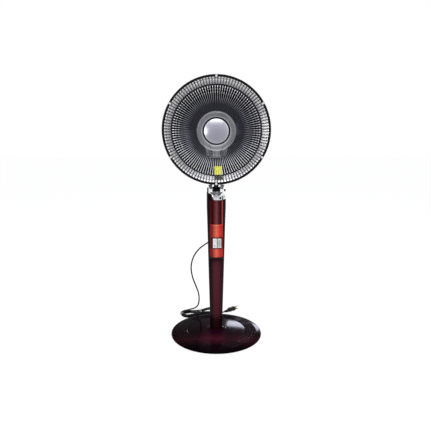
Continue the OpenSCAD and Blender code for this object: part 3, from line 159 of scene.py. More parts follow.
def modify(piece: Piece, kind: str, **settings: object) -> None:
    """Gives the piece a modifier and applies it.

    Args:
        piece: The piece.
        kind: The kind of modifier.
        settings: The modifier's settings.
    """
    modifier = piece.modifiers.new(kind.lower(), kind)
    for name, value in settings.items():
        setattr(modifier, name, value)
    pick(piece)
    bpy.ops.object.modifier_apply(modifier=modifier.name)


def smooth(piece: Piece, angle: float = PLAIN_ANGLE) -> None:
    """Shades the piece smooth, with sharp edges past an angle in degrees."""
    pick(piece)
    bpy.ops.object.shade_smooth_by_angle(angle=math.radians(angle))


def bevel(piece: Piece, width: float, segments: int) -> None:
    """Rounds the piece's sharp edges."""
    modify(piece, "BEVEL", width=width * MM, segments=segments, limit_method="ANGLE",
           angle_limit=math.radians(SHARP_ANGLE))


def join(pieces: Sequence[Piece]) -> Piece:
    """Joins several pieces into the first one.

    Args:
        pieces: The pieces.

    Returns:
        The joined piece.
    """
    pick(*pieces)
    if len(pieces) > 1:
        bpy.ops.object.join()
    return pieces[0]


def vertex_path(points: Sequence[Row]) -> Piece:
    """Draws a line of edges: one point, extruded again and again.

    Args:
        points: The line's points.

    Returns:
        The line as a mesh of edges.
    """
    route = [Vector(point) * MM for point in points]
    bpy.ops.mesh.primitive_plane_add(size=MM, location=route[0])
    settle(bpy.context.object)
    with edit_mode():
        bpy.ops.mesh.select_mode(type="VERT")
        bpy.ops.mesh.merge(type="CENTER")
        for here, there in zip(route, route[1:]):
            bpy.ops.mesh.extrude_vertices_move(TRANSFORM_OT_translate={"value": there - here})
    return bpy.context.object


def drawn_tube(points: Sequence[Row], radius: float, sides: int, caps: bool = True) -> Piece:
    """Draws a line and gives it a round section.

    Args:
        points: The middle line's points.
        radius: The tube's radius.
        sides: The bevel resolution round the tube.
        caps: Whether its ends are closed.

    Returns:
        The tube as a mesh.
    """
    piece = vertex_path(points)
    pick(piece)
    bpy.ops.object.convert(target="CURVE")
    piece.data.bevel_depth = radius * MM
    piece.data.bevel_resolution = sides
    piece.data.use_fill_caps = caps
    bpy.ops.object.convert(target="MESH")
    with edit_mode():
        mend()
    smooth(piece, TUBE_ANGLE)
    return piece


def lathe(profile: Sequence[Row], frame: Matrix, steps: int) -> Piece:
    """Spins a profile about its axis.

    Args:
        profile: The profile's points, each a radius and a height.
        frame: Places the axis, which is the local Z.
        steps: The number of faces round.

    Returns:
        The turned piece, with its place in its mesh.
    """
    piece = vertex_path([(radius, 0.0, height) for radius, height in profile])
    with edit_mode():
        bpy.ops.mesh.spin(steps=steps, angle=2 * math.pi, center=(0, 0, 0), axis=(0, 0, 1))
        mend()
    piece.data.transform(frame)
    smooth(piece)
    return piece


def beads(rows: Iterable[Row], frame: Matrix, wire: float, steps: int) -> Piece:
    """Turns round beads about the frame's Z, each from its radius and its height, as one piece."""
    return join([lathe(arc(radius, height, wire, 0, 360, steps=8), frame, steps) for radius, height in rows])


def ring_copies(piece: Piece, count: int) -> Piece:
    """Repeats the piece's mesh evenly round the Z axis, all in the one piece.

    Args:
        piece: The piece to repeat.
        count: How many there are in the full circle.

    Returns:
        The joined piece.
    """
    parts = [piece]
    for index in range(1, count):
        copy = piece.copy()
        copy.data = piece.data.copy()
        bpy.context.scene.collection.objects.link(copy)
        copy.data.transform(turned(360 * index / count, "Z"))
        parts.append(copy)
    return join(parts)


def block(size: Row, rounding: float, frame: Matrix, segments: int = 2) -> Piece:
    """Moulds a block with rounded edges.

    Args:
        size: Its three sides.
        rounding: The radius of its edges.
        frame: Places its middle.
        segments: The number of faces across an edge.

    Returns:
        The block.
    """
    bpy.ops.mesh.primitive_cube_add(size=1)
    piece = bpy.context.object
    piece.scale = [side * MM for side in size]
    settle(piece)
    bevel(piece, rounding, segments)
    smooth(piece)
    piece.data.transform(frame)
    return piece


# ---- finishes


class Grain(Enum):
    """How a surface's fine pattern runs."""

    MOULDED = "even fine mottling"
    SPUN = "rings about the head's axis"
    DRAWN = "streaks along the height"
    ROUGH = "coarse, as cast or fired"


# a pattern's detail and roughness
FINE_NOISE, ROUGH_NOISE = (4.0, 0.5), (8.0, 0.7)


class Along(Enum):
    """What the bands of a colour follow."""

    WIDTH = "X"
    DEPTH = "Y"
    HEIGHT = "Z"
    RADIUS = "R"


@dataclass
class NodeBoard:
    """A node tree, with short ways to add to it."""

    tree: bpy.types.NodeTree
    turn_share: float = 0.004

    def fill(self, node: bpy.types.Node, inputs: Inputs) -> None:
        """Links or sets a node's inputs.

        Args:
            node: The node.
            inputs: For each input, the socket that leads to it or its value.
        """
        for name, value in inputs.items():
            if isinstance(value, Socket):
                self.tree.links.new(value, node.inputs[name])
            else:
                node.inputs[name].default_value = value

    def add(self, kind: str, inputs: Inputs | None = None, output: str | int = 0, **settings: object) -> Socket:
        """Adds a node.

        Args:
            kind: The node's kind.
            inputs: For each input, the socket that leads to it or its value.
            output: The output that is wanted.
            settings: The node's own settings.

        Returns:
            That output.
        """
        node = self.tree.nodes.new(f"ShaderNode{kind}")
        for name, value in settings.items():
            setattr(node, name, value)
        self.fill(node, inputs or {})
        return node.outputs[output]

    def maths(self, operation: str, *values: Socket | float) -> Socket:
        """Adds a math node on one or two values."""
        return self.add("Math", dict(enumerate(values)), operation=operation)

    def mix(self, factor: Socket | float, first: object, second: object, blend: str = "MIX") -> Socket:
        """Mixes two colours, and keeps the result at 1 or below."""
        return self.add("Mix", {"Factor": factor, "A": first, "B": second}, "Result", data_type="RGBA",
                        blend_type=blend, clamp_result=True)

    def place(self) -> Socket:
        """Gives the piece's own coordinates."""
        return self.add("TexCoord", output="Object")

    def about_head(self) -> Socket:
        """Turns the piece's coordinates round the head's axis, so that a pattern runs in rings.

        Returns:
            A vector whose X is the distance from the axis and whose Y is a slow turn about it.
        """
        place = self.place()
        across = self.add("SeparateXYZ", {0: place}, "X")
        height = self.maths("SUBTRACT", self.add("SeparateXYZ", {0: place}, "Z"), HEAD_Z * MM)
        square = self.maths("ADD", self.maths("MULTIPLY", across, across), self.maths("MULTIPLY", height, height))
        turn = self.maths("MULTIPLY", self.maths("ARCTAN2", height, across), self.turn_share)
        return self.add("CombineXYZ", {"X": self.maths("SQRT", square), "Y": turn})

    def ramp(self, value: Socket, stops: Sequence[Row]) -> Socket:
        """Turns a value into a colour.

        Args:
            value: The value.
            stops: The ramp's stops, each a place, a red, a green and a blue.

        Returns:
            The colour.
        """
        node = self.tree.nodes.new("ShaderNodeValToRGB")
        elements = node.color_ramp.elements
        while len(elements) < len(stops):
            elements.new(0.5)
        for element, (at, *colour) in zip(elements, stops):
            element.position = at
            element.color = (*colour, 1.0)
        self.fill(node, {"Fac": value})
        return node.outputs["Color"]

    def bands(self, along: Along, reach: tuple[float, float], stops: Sequence[Row]) -> Socket:
        """Runs a colour over a piece in soft bands.

        Args:
            along: What the bands follow.
            reach: Its values at the first and the last band.
            stops: The bands, each a share of the reach, a red, a green and a blue.

        Returns:
            The colour.
        """
        radial = along is Along.RADIUS
        measure = self.add("SeparateXYZ", {0: self.about_head() if radial else self.place()},
                           "X" if radial else along.value)
        share = self.add("MapRange", {"Value": measure, "From Min": reach[0], "From Max": reach[1]})
        return self.ramp(share, stops)


@dataclass(frozen=True)
class Finish:
    """A finish with a fine pattern in its colour, its roughness and its relief."""

    name: str
    colour: Colour = WHITE
    roughness: float = 0.4
    metallic: float = 0.0
    coat: float = 0.0
    coat_roughness: float = 0.04
    transmission: float = 0.0
    ior: float = 1.5
    specular: float = 0.5
    grain: Grain = Grain.MOULDED
    scale: float = 300.0
    depth: float = 0.00002
    bump: float = 0.5
    spread: float = 0.12
    spread_stops: tuple[float, float] = (0.3, 0.7)
    rough_spread: float = 0.06
    least_roughness: float = 0.02
    edge: float = 0.0
    edge_samples: int = 4
    drawn_stretch: Point = (1.0, 1.0, 0.04)

    def material(self) -> bpy.types.Material:
        """Builds the node material, once for each name.

        Returns:
            The material.
        """
        full_name = f"{self.name}_finish"
        if full_name in bpy.data.materials:
            return bpy.data.materials[full_name]
        made = bpy.data.materials.new(full_name)
        made.use_nodes = True
        board = NodeBoard(made.node_tree)
        pattern = self.pattern(board)
        board.fill(made.node_tree.nodes["Principled BSDF"], {
            "Metallic": self.metallic, "IOR": self.ior, "Specular IOR Level": self.specular,
            "Coat Weight": self.coat, "Coat Roughness": self.coat_roughness,
            "Transmission Weight": self.transmission, "Base Color": self.tint(board, pattern),
            "Roughness": self.wear(board, pattern), "Normal": self.relief(board, pattern)})
        return made

    def pattern(self, board: NodeBoard) -> Socket:
        """Lays the fine pattern over the piece's own coordinates.

        Args:
            board: The material's nodes.

        Returns:
            The pattern's value, from 0 to 1.
        """
        place = board.about_head() if self.grain is Grain.SPUN else board.place()
        if self.grain is Grain.DRAWN:
            place = board.add("Mapping", {"Vector": place, "Scale": self.drawn_stretch})
        detail, roughness = ROUGH_NOISE if self.grain is Grain.ROUGH else FINE_NOISE
        return board.add("TexNoise", {"Vector": place, "Scale": self.scale, "Detail": detail,
                                      "Roughness": roughness}, "Fac")

    def base_colour(self, board: NodeBoard) -> Socket | None:
        """Gives a colour that varies over the piece, where a kind of finish has one."""
        return None

    def tint(self, board: NodeBoard, pattern: Socket) -> Socket:
        """Varies the colour with the pattern.

        Args:
            board: The material's nodes.
            pattern: The pattern's value.

        Returns:
            The colour.
        """
        shades = (1.0 - self.spread, 1.0 + self.spread)
        ramp = board.ramp(pattern, [(stop, *(min(1.0, part * shade) for part in self.colour))
                                    for stop, shade in zip(self.spread_stops, shades)])
        own = self.base_colour(board)
        return board.mix(1.0, own, ramp, "MULTIPLY") if own else ramp

    def wear(self, board: NodeBoard, pattern: Socket) -> Socket:
        """Varies the roughness with the pattern."""
        return board.add("MapRange", {"Value": pattern, "To Max": self.roughness + self.rough_spread,
                                      "To Min": max(self.least_roughness, self.roughness - self.rough_spread)})

    def relief(self, board: NodeBoard, pattern: Socket) -> Socket:
        """Gives the surface its relief, over edges that look rounded."""
        edges = {"Normal": board.add("Bevel", {"Radius": self.edge}, samples=self.edge_samples)} if self.edge else {}
        return board.add("Bump", {"Strength": self.bump, "Distance": self.depth, "Height": pattern, **edges})


@dataclass(frozen=True)
class Banded(Finish):
    """A finish whose colour changes in soft bands, and whose level may change along another measure.

    Each band is a share of the reach, a red, a green and a blue. Each level is a place in metres and a factor.
    """

    along: Along = Along.HEIGHT
    reach: tuple[float, float] = (0.0, 1.0)
    bands: tuple[Row, ...] = ()
    levels: tuple[Row, ...] = ()
    levels_along: Along = Along.HEIGHT
    # even radial stripes of painted shade and reflection of the guard wires, past a radius
    painted_stripes: int = 0
    painted_stripes_from: float = 0.0
    painted_stripe_colour: Row = (0.12, 0.12, 0.12, 1.0)
    painted_stripe_edges: tuple[float, float] = (-0.3, -0.75)

    def base_colour(self, board: NodeBoard) -> Socket:
        """Lays the bands, with the levels or the painted stripes over them.

        Args:
            board: The material's nodes.

        Returns:
            The colour.
        """
        colour = board.bands(self.along, self.reach, self.bands)
        if self.painted_stripes:
            colour = board.mix(self.painted_stripe_mask(board), colour, self.painted_stripe_colour)
        if self.levels:
            first, last = self.levels[0][0], self.levels[-1][0]
            stops = [((place - first) / (last - first), level, level, level) for place, level in self.levels]
            colour = board.mix(1.0, colour, board.bands(self.levels_along, (first, last), stops), "MULTIPLY")
        return colour

    def painted_stripe_mask(self, board: NodeBoard) -> Socket:
        """Finds even radial stripes past a radius, where shade and reflection of the guard wires are painted.

        Args:
            board: The material's nodes.

        Returns:
            1 in a painted stripe and 0 outside it.
        """
        round_head = board.about_head()
        turn = board.maths("MULTIPLY", board.add("SeparateXYZ", {0: round_head}, "Y"), self.painted_stripes / board.turn_share)
        outside = board.maths("GREATER_THAN", board.add("SeparateXYZ", {0: round_head}, "X"), self.painted_stripes_from)
        # how dark the painted stripe is across its width
        depth = board.add("MapRange", {"Value": board.maths("COSINE", turn), "From Min": self.painted_stripe_edges[0],
                                       "From Max": self.painted_stripe_edges[1]})
        return board.maths("MULTIPLY", depth, outside)


@dataclass(frozen=True)
class Limbed(Finish):
    """A clear tube's finish: pale where the wall is seen edge on, a painted highlight, and dark through its middle."""

    limb: Colour = WHITE
    middle: Colour = (0.2, 0.2, 0.22)
    blend: float = 0.45
    turns_at: tuple[float, float] = (0.12, 0.62)

    def base_colour(self, board: NodeBoard) -> Socket:
        """Turns the facing of the wall into its colour."""
        facing = board.add("LayerWeight", {"Blend": self.blend}, "Facing")
        return board.ramp(facing, [(self.turns_at[0], *self.middle), (self.turns_at[1], *self.limb)])


def greys(*rows: Row) -> tuple[Row, ...]:
    """Gives grey bands from rows of a share, a level for red and green, and a level for blue."""
    return tuple((share, level, level, blue) for share, level, blue in rows)


# The bands across the width paint shade: near black at both edges, lighter through the middle. The levels make it
# darker towards the bottom, and paint a shadow just below the control plate.
COLUMN_GLOSS = Banded(
    "column_gloss", roughness=0.2, spread=0.1, edge=0.0004, ior=1.07, along=Along.WIDTH, reach=(-0.034, 0.034),
    bands=((0.0, 0.005, 0.002, 0.003), (0.17, 0.01, 0.003, 0.004), (0.28, 0.055, 0.013, 0.02),
           (0.34, 0.075, 0.019, 0.028), (0.4, 0.095, 0.024, 0.035), (0.5, 0.104, 0.023, 0.035),
           (0.58, 0.106, 0.021, 0.033), (0.66, 0.095, 0.018, 0.028), (0.72, 0.076, 0.015, 0.023),
           (0.79, 0.048, 0.01, 0.015), (0.88, 0.018, 0.005, 0.007), (1.0, 0.005, 0.002, 0.003)),
    levels=((0.028, 0.16), (0.075, 0.26), (0.1, 0.85), (0.3, 1.0), (0.318, 0.8), (0.33, 0.35), (0.6, 0.9)))
# The bands and levels paint a red reflection of the column and plate on the base, in front of the column and brightest
# mid-width; the base is darker towards its sides.
BASE_GLOSS = Banded(
    "base_gloss", roughness=0.1, spread=0.15, scale=60.0, ior=1.04, along=Along.DEPTH, reach=(-0.185, 0.185),
    bands=((0.0, 0.002, 0.001, 0.002), (0.12, 0.006, 0.001, 0.003), (0.25, 0.036, 0.005, 0.011),
           (0.4, 0.01, 0.001, 0.004), (1.0, 0.003, 0.001, 0.003)),
    levels=((-0.185, 0.45), (-0.075, 0.6), (-0.03, 2.1), (0.012, 2.1), (0.04, 1.0), (0.13, 0.9), (0.185, 0.5)),
    levels_along=Along.WIDTH)
HOUSING_GLOSS = Finish("housing_gloss", (0.022, 0.004, 0.008), 0.2, specular=0.2, edge=0.0004)
# The bands across the width paint shade and highlights: dark red towards the edges, a pale painted highlight through
# the middle, and a bright painted highlight along the right edge.
WINDOW = Banded(
    "window_red", roughness=0.14, ior=1.09, along=Along.WIDTH, reach=(-0.026, 0.026),
    bands=((0.0, 0.05, 0.006, 0.007), (0.05, 0.08, 0.012, 0.013), (0.13, 0.063, 0.002, 0.004),
           (0.2, 0.048, 0.001, 0.001), (0.28, 0.067, 0.003, 0.004), (0.35, 0.103, 0.02, 0.02),
           (0.43, 0.158, 0.04, 0.045), (0.51, 0.186, 0.057, 0.065), (0.59, 0.154, 0.043, 0.052),
           (0.66, 0.095, 0.017, 0.023), (0.74, 0.078, 0.009, 0.014), (0.82, 0.037, 0.001, 0.001),
           (0.89, 0.08, 0.006, 0.007), (0.935, 0.42, 0.085, 0.08), (1.0, 0.42, 0.085, 0.08)))
# The bands across the width paint a highlight down the middle, with painted shade darker to the left. The levels paint
# a dark shadow strip along the lower edge, painted shade about the switches, fine lines, and a painted highlight along
# the top edge.
PLATE = Banded(
    "plate_orange", roughness=0.3, specular=0.12, along=Along.WIDTH, reach=(-0.026, 0.026),
    bands=((0.0, 0.16, 0.003, 0.004), (0.2, 0.3, 0.01, 0.009), (0.5, 1.0, 0.19, 0.12), (0.74, 0.8, 0.052, 0.032),
           (1.0, 0.58, 0.022, 0.017)),
    levels=((0.332, 0.01), (0.3405, 0.02), (0.3425, 0.85), (0.3725, 1.0), (0.38, 0.42), (0.42, 0.42), (0.4275, 0.95),
            (0.444, 1.0), (0.45, 0.84), (0.456, 1.0), (0.464, 0.78), (0.47, 0.9), (0.472, 1.7), (0.475, 1.7)))
ROCKER_WHITE = Finish("rocker_white", (0.9, 0.9, 0.86), 0.3, spread=0.03, edge=0.0004)
# A copy of the white rockers' colour, greyed across the middle of its height as painted shade.
ROCKER_WHITE_SHADED = Banded(
    "rocker_white_painted_shade", roughness=0.3, spread=0.03, edge=0.0004, reach=(0.381, 0.419),
    bands=((0.0, 0.8, 0.8, 0.76), (0.22, 0.62, 0.66, 0.6), (0.45, 0.42, 0.48, 0.42), (0.75, 0.55, 0.6, 0.54),
           (1.0, 0.76, 0.78, 0.73)))
BEZEL_RED = Finish("bezel_red", (0.1, 0.004, 0.006), 0.25, specular=0.25, edge=0.0003)
BLACK_GLOSS = Finish("black_gloss", (0.006, 0.006, 0.008), 0.2, specular=0.25, edge=0.0003)
BLACK_SATIN = Finish("black_satin", (0.007, 0.007, 0.008), 0.45, specular=0.2, edge=0.0003)
BLACK_RUBBER = Finish("black_rubber", (0.01, 0.01, 0.01), 0.6, specular=0.2, scale=900.0, depth=5e-05)
RIM_BLACK = Finish("rim_enamel", (0.003, 0.003, 0.004), 0.25, specular=0.12, edge=0.0004)
PAN_ENAMEL = Finish("pan_enamel", (0.022, 0.02, 0.024), 0.38, specular=0.3, scale=500.0, edge=0.0003)
STEEL = Finish("zinc_steel", (0.5, 0.5, 0.52), 0.32, metallic=1.0, scale=200.0, edge=0.0002)
# The bands along the height paint reflections on the chrome: a dark band across the middle, between bright ones.
CHROME = Banded(
    "neck_chrome", roughness=0.16, metallic=0.8, spread=0.03, rough_spread=0.05, scale=40.0, edge=0.0006,
    reach=(0.551, 0.632),
    bands=((0.0, 0.8, 0.81, 0.83), (0.2, 0.92, 0.93, 0.94), (0.42, 0.5, 0.51, 0.53), (0.5, 0.92, 0.93, 0.94),
           (0.75, 0.95, 0.95, 0.96), (1.0, 0.8, 0.8, 0.82)))
CAST_IRON = Finish(
    "cast_iron", (0.03, 0.03, 0.032), 0.75, metallic=0.5, grain=Grain.ROUGH, scale=250.0, depth=0.0003)
# The bands along the radius paint the wires' reflections and highlights: dark over the middle, bright where they pass
# over the tube, and dashes of painted highlight further out. The levels paint the lower part brighter.
WIRE_CHROME = Banded(
    "guard_chrome", roughness=0.28, metallic=0.3, spread=0.05, specular=0.12, along=Along.RADIUS, reach=(0.0, 0.2),
    bands=greys((0.0, 0.04, 0.05), (0.245, 0.04, 0.05), (0.258, 1.25, 1.3), (0.285, 0.42, 0.46), (0.325, 0.34, 0.38),
           (0.343, 1.05, 1.1), (0.362, 0.075, 0.095), (0.48, 0.1, 0.12), (0.58, 0.54, 0.59), (0.66, 0.6, 0.65),
           (0.689, 1.4, 1.46), (0.715, 0.3, 0.34), (0.742, 1.9, 1.96), (0.762, 0.25, 0.29), (0.787, 3.6, 3.7),
           (0.808, 0.06, 0.08), (1.0, 0.02, 0.025)),
    levels=((0.645, 1.5), (0.72, 1.5), (0.745, 1.3), (0.775, 0.95), (0.81, 0.55), (0.84, 0.47), (0.93, 0.43),
            (1.035, 0.45)))
# Near black: a painted dark reflection on the chrome rings.
RING_DARK = Finish("ring_dark", (0.008, 0.008, 0.01), 0.3, metallic=0.1, specular=0.2, spread=0.05)
CLIP_STEEL = Finish("clip_steel", (0.66, 0.66, 0.69), 0.25, metallic=1.0, edge=0.0003)
# The bands along the radius paint reflections on the polished dish: a dark bowl ringed with pale and dark painted
# reflections, and a bright outer zone. The stripes past 0.1675 m are painted shade and reflection of the guard wires.
DISH = Banded(
    "dish_polish", roughness=0.2, metallic=1.0, grain=Grain.SPUN, scale=900.0, depth=1.2e-05, spread=0.1,
    rough_spread=0.03, painted_stripes=108, painted_stripes_from=0.1675, along=Along.RADIUS, reach=(0.0, 0.2),
    bands=greys((0.0, 0.05, 0.064), (0.4, 0.034, 0.044), (0.57, 0.026, 0.036), (0.597, 0.036, 0.046),
           (0.623, 0.02, 0.028), (0.645, 0.042, 0.053), (0.672, 0.017, 0.024), (0.698, 0.052, 0.064),
           (0.724, 0.015, 0.022), (0.75, 0.066, 0.078), (0.774, 0.013, 0.019), (0.798, 0.1, 0.11),
           (0.818, 0.01, 0.014), (0.832, 0.01, 0.014), (0.842, 0.46, 0.49), (0.875, 0.44, 0.47), (0.9, 0.66, 0.69),
           (0.925, 0.99, 1.0), (1.0, 0.99, 1.0)))
# The bands along the radius paint a bright highlight round the rim, and the levels paint the top lighter than the
# lower half.
BADGE = Banded(
    "badge_satin", roughness=0.3, metallic=0.85, grain=Grain.SPUN, scale=1500.0, depth=1e-05, spread=0.08,
    along=Along.RADIUS, reach=(0.0, 0.046),
    bands=greys((0.0, 0.54, 0.66), (0.55, 0.58, 0.7), (0.84, 0.64, 0.74), (0.91, 0.86, 0.9), (1.0, 0.88, 0.92)),
    levels=((0.796, 0.52), (0.83, 0.58), (0.855, 0.68), (0.884, 0.75)))
CERAMIC = Finish("ceramic_white", (0.55, 0.54, 0.53), 0.55, grain=Grain.ROUGH, scale=400.0, spread=0.05)
NYLON = Finish("nylon_natural", (0.7, 0.67, 0.58), 0.4, spread=0.04)
HOLDER = Finish("holder_satin", (0.72, 0.72, 0.76), 0.35, metallic=0.3, edge=0.0003)
# A lighter copy of the holder's finish: a painted highlight on the lower lip.
HOLDER_LIP = Finish("holder_lip", (0.93, 0.93, 0.95), 0.3, metallic=0.1, spread=0.03)
CAP_GREY = Finish("cap_steatite", (0.3, 0.3, 0.31), 0.5, grain=Grain.ROUGH, scale=400.0, spread=0.06)
# The pale edge-on wall is a painted highlight.
QUARTZ = Limbed(
    "quartz_clear", roughness=0.14, transmission=0.5, ior=1.46, spread=0.03, rough_spread=0.03, coat=0.5,
    limb=(1.0, 1.0, 1.0), middle=(0.9, 0.9, 0.93))
COIL_WIRE = Finish("coil_wire", (0.1, 0.1, 0.11), 0.4, metallic=0.9)
BRASS = Finish("pin_brass", (0.42, 0.33, 0.19), 0.22, metallic=1.0, grain=Grain.DRAWN)
CORD_SHEATH = Finish(
    "cord_sheath", (0.006, 0.006, 0.007), 0.5, specular=0.08, scale=700.0, depth=3e-05, spread=0.2)
LABEL_YELLOW = Finish("foil_yellow", (0.92, 0.9, 0.04), 0.4, spread=0.05)

NODES_OF: dict[Finish, str] = {
    BASE_GLOSS: "base_cover",
    CAST_IRON: "base_weight",
    PAN_ENAMEL: "bottom_plate rear_pan",
    BLACK_RUBBER: "base_feet cord_gland",
    STEEL: ("bottom_screws column_pole pole_bolts column_screws motor_bracket swing_shaft shaft_clip neck_screws "
        "arm_screws housing_screws badge_clamp badge_screw tube_leads stand_screws"),
    BLACK_SATIN: "tip_switch switch_bodies cord_tie mains_plug thrust_washer tilt_knob",
    NYLON: "tip_plunger motor_pinion swing_bush swing_gear terminal_block",
    COLUMN_GLOSS: "column_front column_rear",
    WINDOW: "window_panel",
    PLATE: "control_plate",
    BEZEL_RED: "switch_bezel",
    ROCKER_WHITE: "heat_rocker",
    ROCKER_WHITE_SHADED: "swing_rocker",
    BRASS: "plug_pins",
    CLIP_STEEL: "swing_motor thermal_cutout rim_clips",
    CHROME: "neck",
    BLACK_GLOSS: "tilt_bolt",
    RIM_BLACK: "tilt_arm rim_band",
    HOUSING_GLOSS: "rear_housing",
    DISH: "reflector_dish",
    RING_DARK: "guard_rings",
    WIRE_CHROME: "guard_wires",
    BADGE: "badge",
    QUARTZ: "heating_tube",
    COIL_WIRE: "filament",
    CAP_GREY: "tube_caps",
    CERAMIC: "tube_stand",
    HOLDER: "holder_plate",
    CORD_SHEATH: "cord_free cord_hank cord_tail",
}


def dress(piece: Piece, finish: Finish) -> None:
    """Gives a piece its finish on every material slot.

    Args:
        piece: The piece.
        finish: Its finish.
    """
    if not piece.material_slots:
        piece.data.materials.append(finish.material())
    for place in piece.material_slots:
        place.material = finish.material()


def put_on(piece: Piece, name: str, body: str, slot: str, finish: Finish, *replaced: str) -> Piece:
    """Names and dresses a new piece and fixes it to a body.

    Args:
        piece: The piece.
        name: Its name.
        body: The body that it moves with.
        slot: The record's material slot, not used.
        finish: Its finish.
        replaced: The nodes that it stands in for.

    Returns:
        The piece.
    """
    dress(named(piece, name), finish)
    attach(piece, body)
    if replaced:
        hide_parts(*replaced)
    LOG.info("made %s", name)
    return piece


# ---- studio


@dataclass(frozen=True)
class Lamp:
    """A soft rectangular lamp that faces the object, its sizes in metres and its power in watts."""

    name: str
    place: Point
    power: float
    width: float
    height: float
    colour: Colour = WHITE
    aim: Point = (0.0, 0.0, 0.55)

    def build(self) -> None:
        """Hangs the lamp."""
        bpy.ops.object.light_add(type="AREA", location=self.place)
        lamp = named(bpy.context.object, self.name)
        lamp.data.shape = "RECTANGLE"
        lamp.data.size, lamp.data.size_y = self.width, self.height
        lamp.data.energy = self.power
        lamp.data.color = self.colour
        lamp.rotation_euler = (Vector(self.aim) - Vector(self.place)).to_track_quat("-Z", "Y").to_euler()


@dataclass
class Studio:
    """The camera, floor, backdrop and lamps."""

    eye: Point = (-0.005, -2.0237, 0.9458)
    pitch_down: float = 12.257
    lens: float = 43.95
    sensor: float = 36.0
    floor_size: float = 14.0
    floor_z: float = -0.0005
    floor_colour: Row = (0.95, 0.95, 0.95, 1.0)
    floor_roughness: float = 0.7
    floor_glow: float = 0.88
    floor_light: float = 1.06
    sky: Row = (0.42, 0.43, 0.46, 1.0)
    lamps: tuple[Lamp, ...] = (
        Lamp("lamp_left", (-2.0, -1.75, 0.7), 11.0, 0.5, 1.1),
        Lamp("lamp_right", (2.4, -0.9, 1.5), 10.0, 0.6, 1.6),
        Lamp("lamp_front_top", (0.0, -1.5, 2.7), 18.0, 2.2, 1.2),
        Lamp("lamp_back_top", (0.2, 2.0, 3.0), 14.0, 1.6, 0.25),
        Lamp("lamp_back_right", (0.42, 2.4, 0.85), 34.0, 0.5, 0.3, (0.84, 0.84, 1.0)),
    )

    def build(self) -> None:
        """Makes everything that isn't the object."""
        self.camera()
        self.ground()
        self.world()
        for lamp in self.lamps:
            lamp.build()
        bpy.context.scene.view_settings.view_transform = "Standard"
        LOG.info("made the studio")

    def camera(self) -> None:
        """Sets the camera at the photograph's viewing angle."""
        bpy.ops.object.camera_add(location=self.eye, rotation=(math.radians(90 - self.pitch_down), 0, 0))
        camera = named(bpy.context.object, "viewpoint")
        camera.data.lens = self.lens
        camera.data.sensor_width = self.sensor
        bpy.context.scene.camera = camera

    def ground(self) -> None:
        """Lays a pale floor that shows white and keeps the object's shadow."""
        bpy.ops.mesh.primitive_plane_add(size=self.floor_size, location=(0, 0, self.floor_z))
        floor = named(bpy.context.object, "studio_floor")
        finish = bpy.data.materials.new("studio_white")
        finish.use_nodes = True
        board, nodes = NodeBoard(finish.node_tree), finish.node_tree.nodes
        board.fill(nodes["Principled BSDF"], {"Base Color": self.floor_colour, "Roughness": self.floor_roughness})
        share = board.maths("MULTIPLY", self.seen(board), self.floor_glow)
        glow = board.add("Emission", {"Strength": self.floor_light})
        mixed = board.add("MixShader", {"Fac": share, 1: nodes["Principled BSDF"].outputs[0], 2: glow})
        board.fill(nodes["Material Output"], {"Surface": mixed})
        floor.data.materials.append(finish)
        settle(floor)

    @staticmethod
    def seen(board: NodeBoard) -> Socket:
        """Gives 1 where a ray comes from the camera, a gloss or a glass, or else 0."""
        seen = [board.add("LightPath", output=f"Is {ray} Ray") for ray in ("Camera", "Glossy", "Transmission")]
        return board.maths("MAXIMUM", board.maths("MAXIMUM", *seen[:2]), seen[2])

    def world(self) -> None:
        """Lights all round at a plain level, with a white background for the camera."""
        world = bpy.data.worlds.new("studio")
        bpy.context.scene.world = world
        world.use_nodes = True
        board = NodeBoard(world.node_tree)
        board.fill(world.node_tree.nodes["Background"],
                   {"Color": board.mix(self.seen(board), self.sky, (*WHITE, 1.0))})


# ---- pieces, their sizes in millimetres


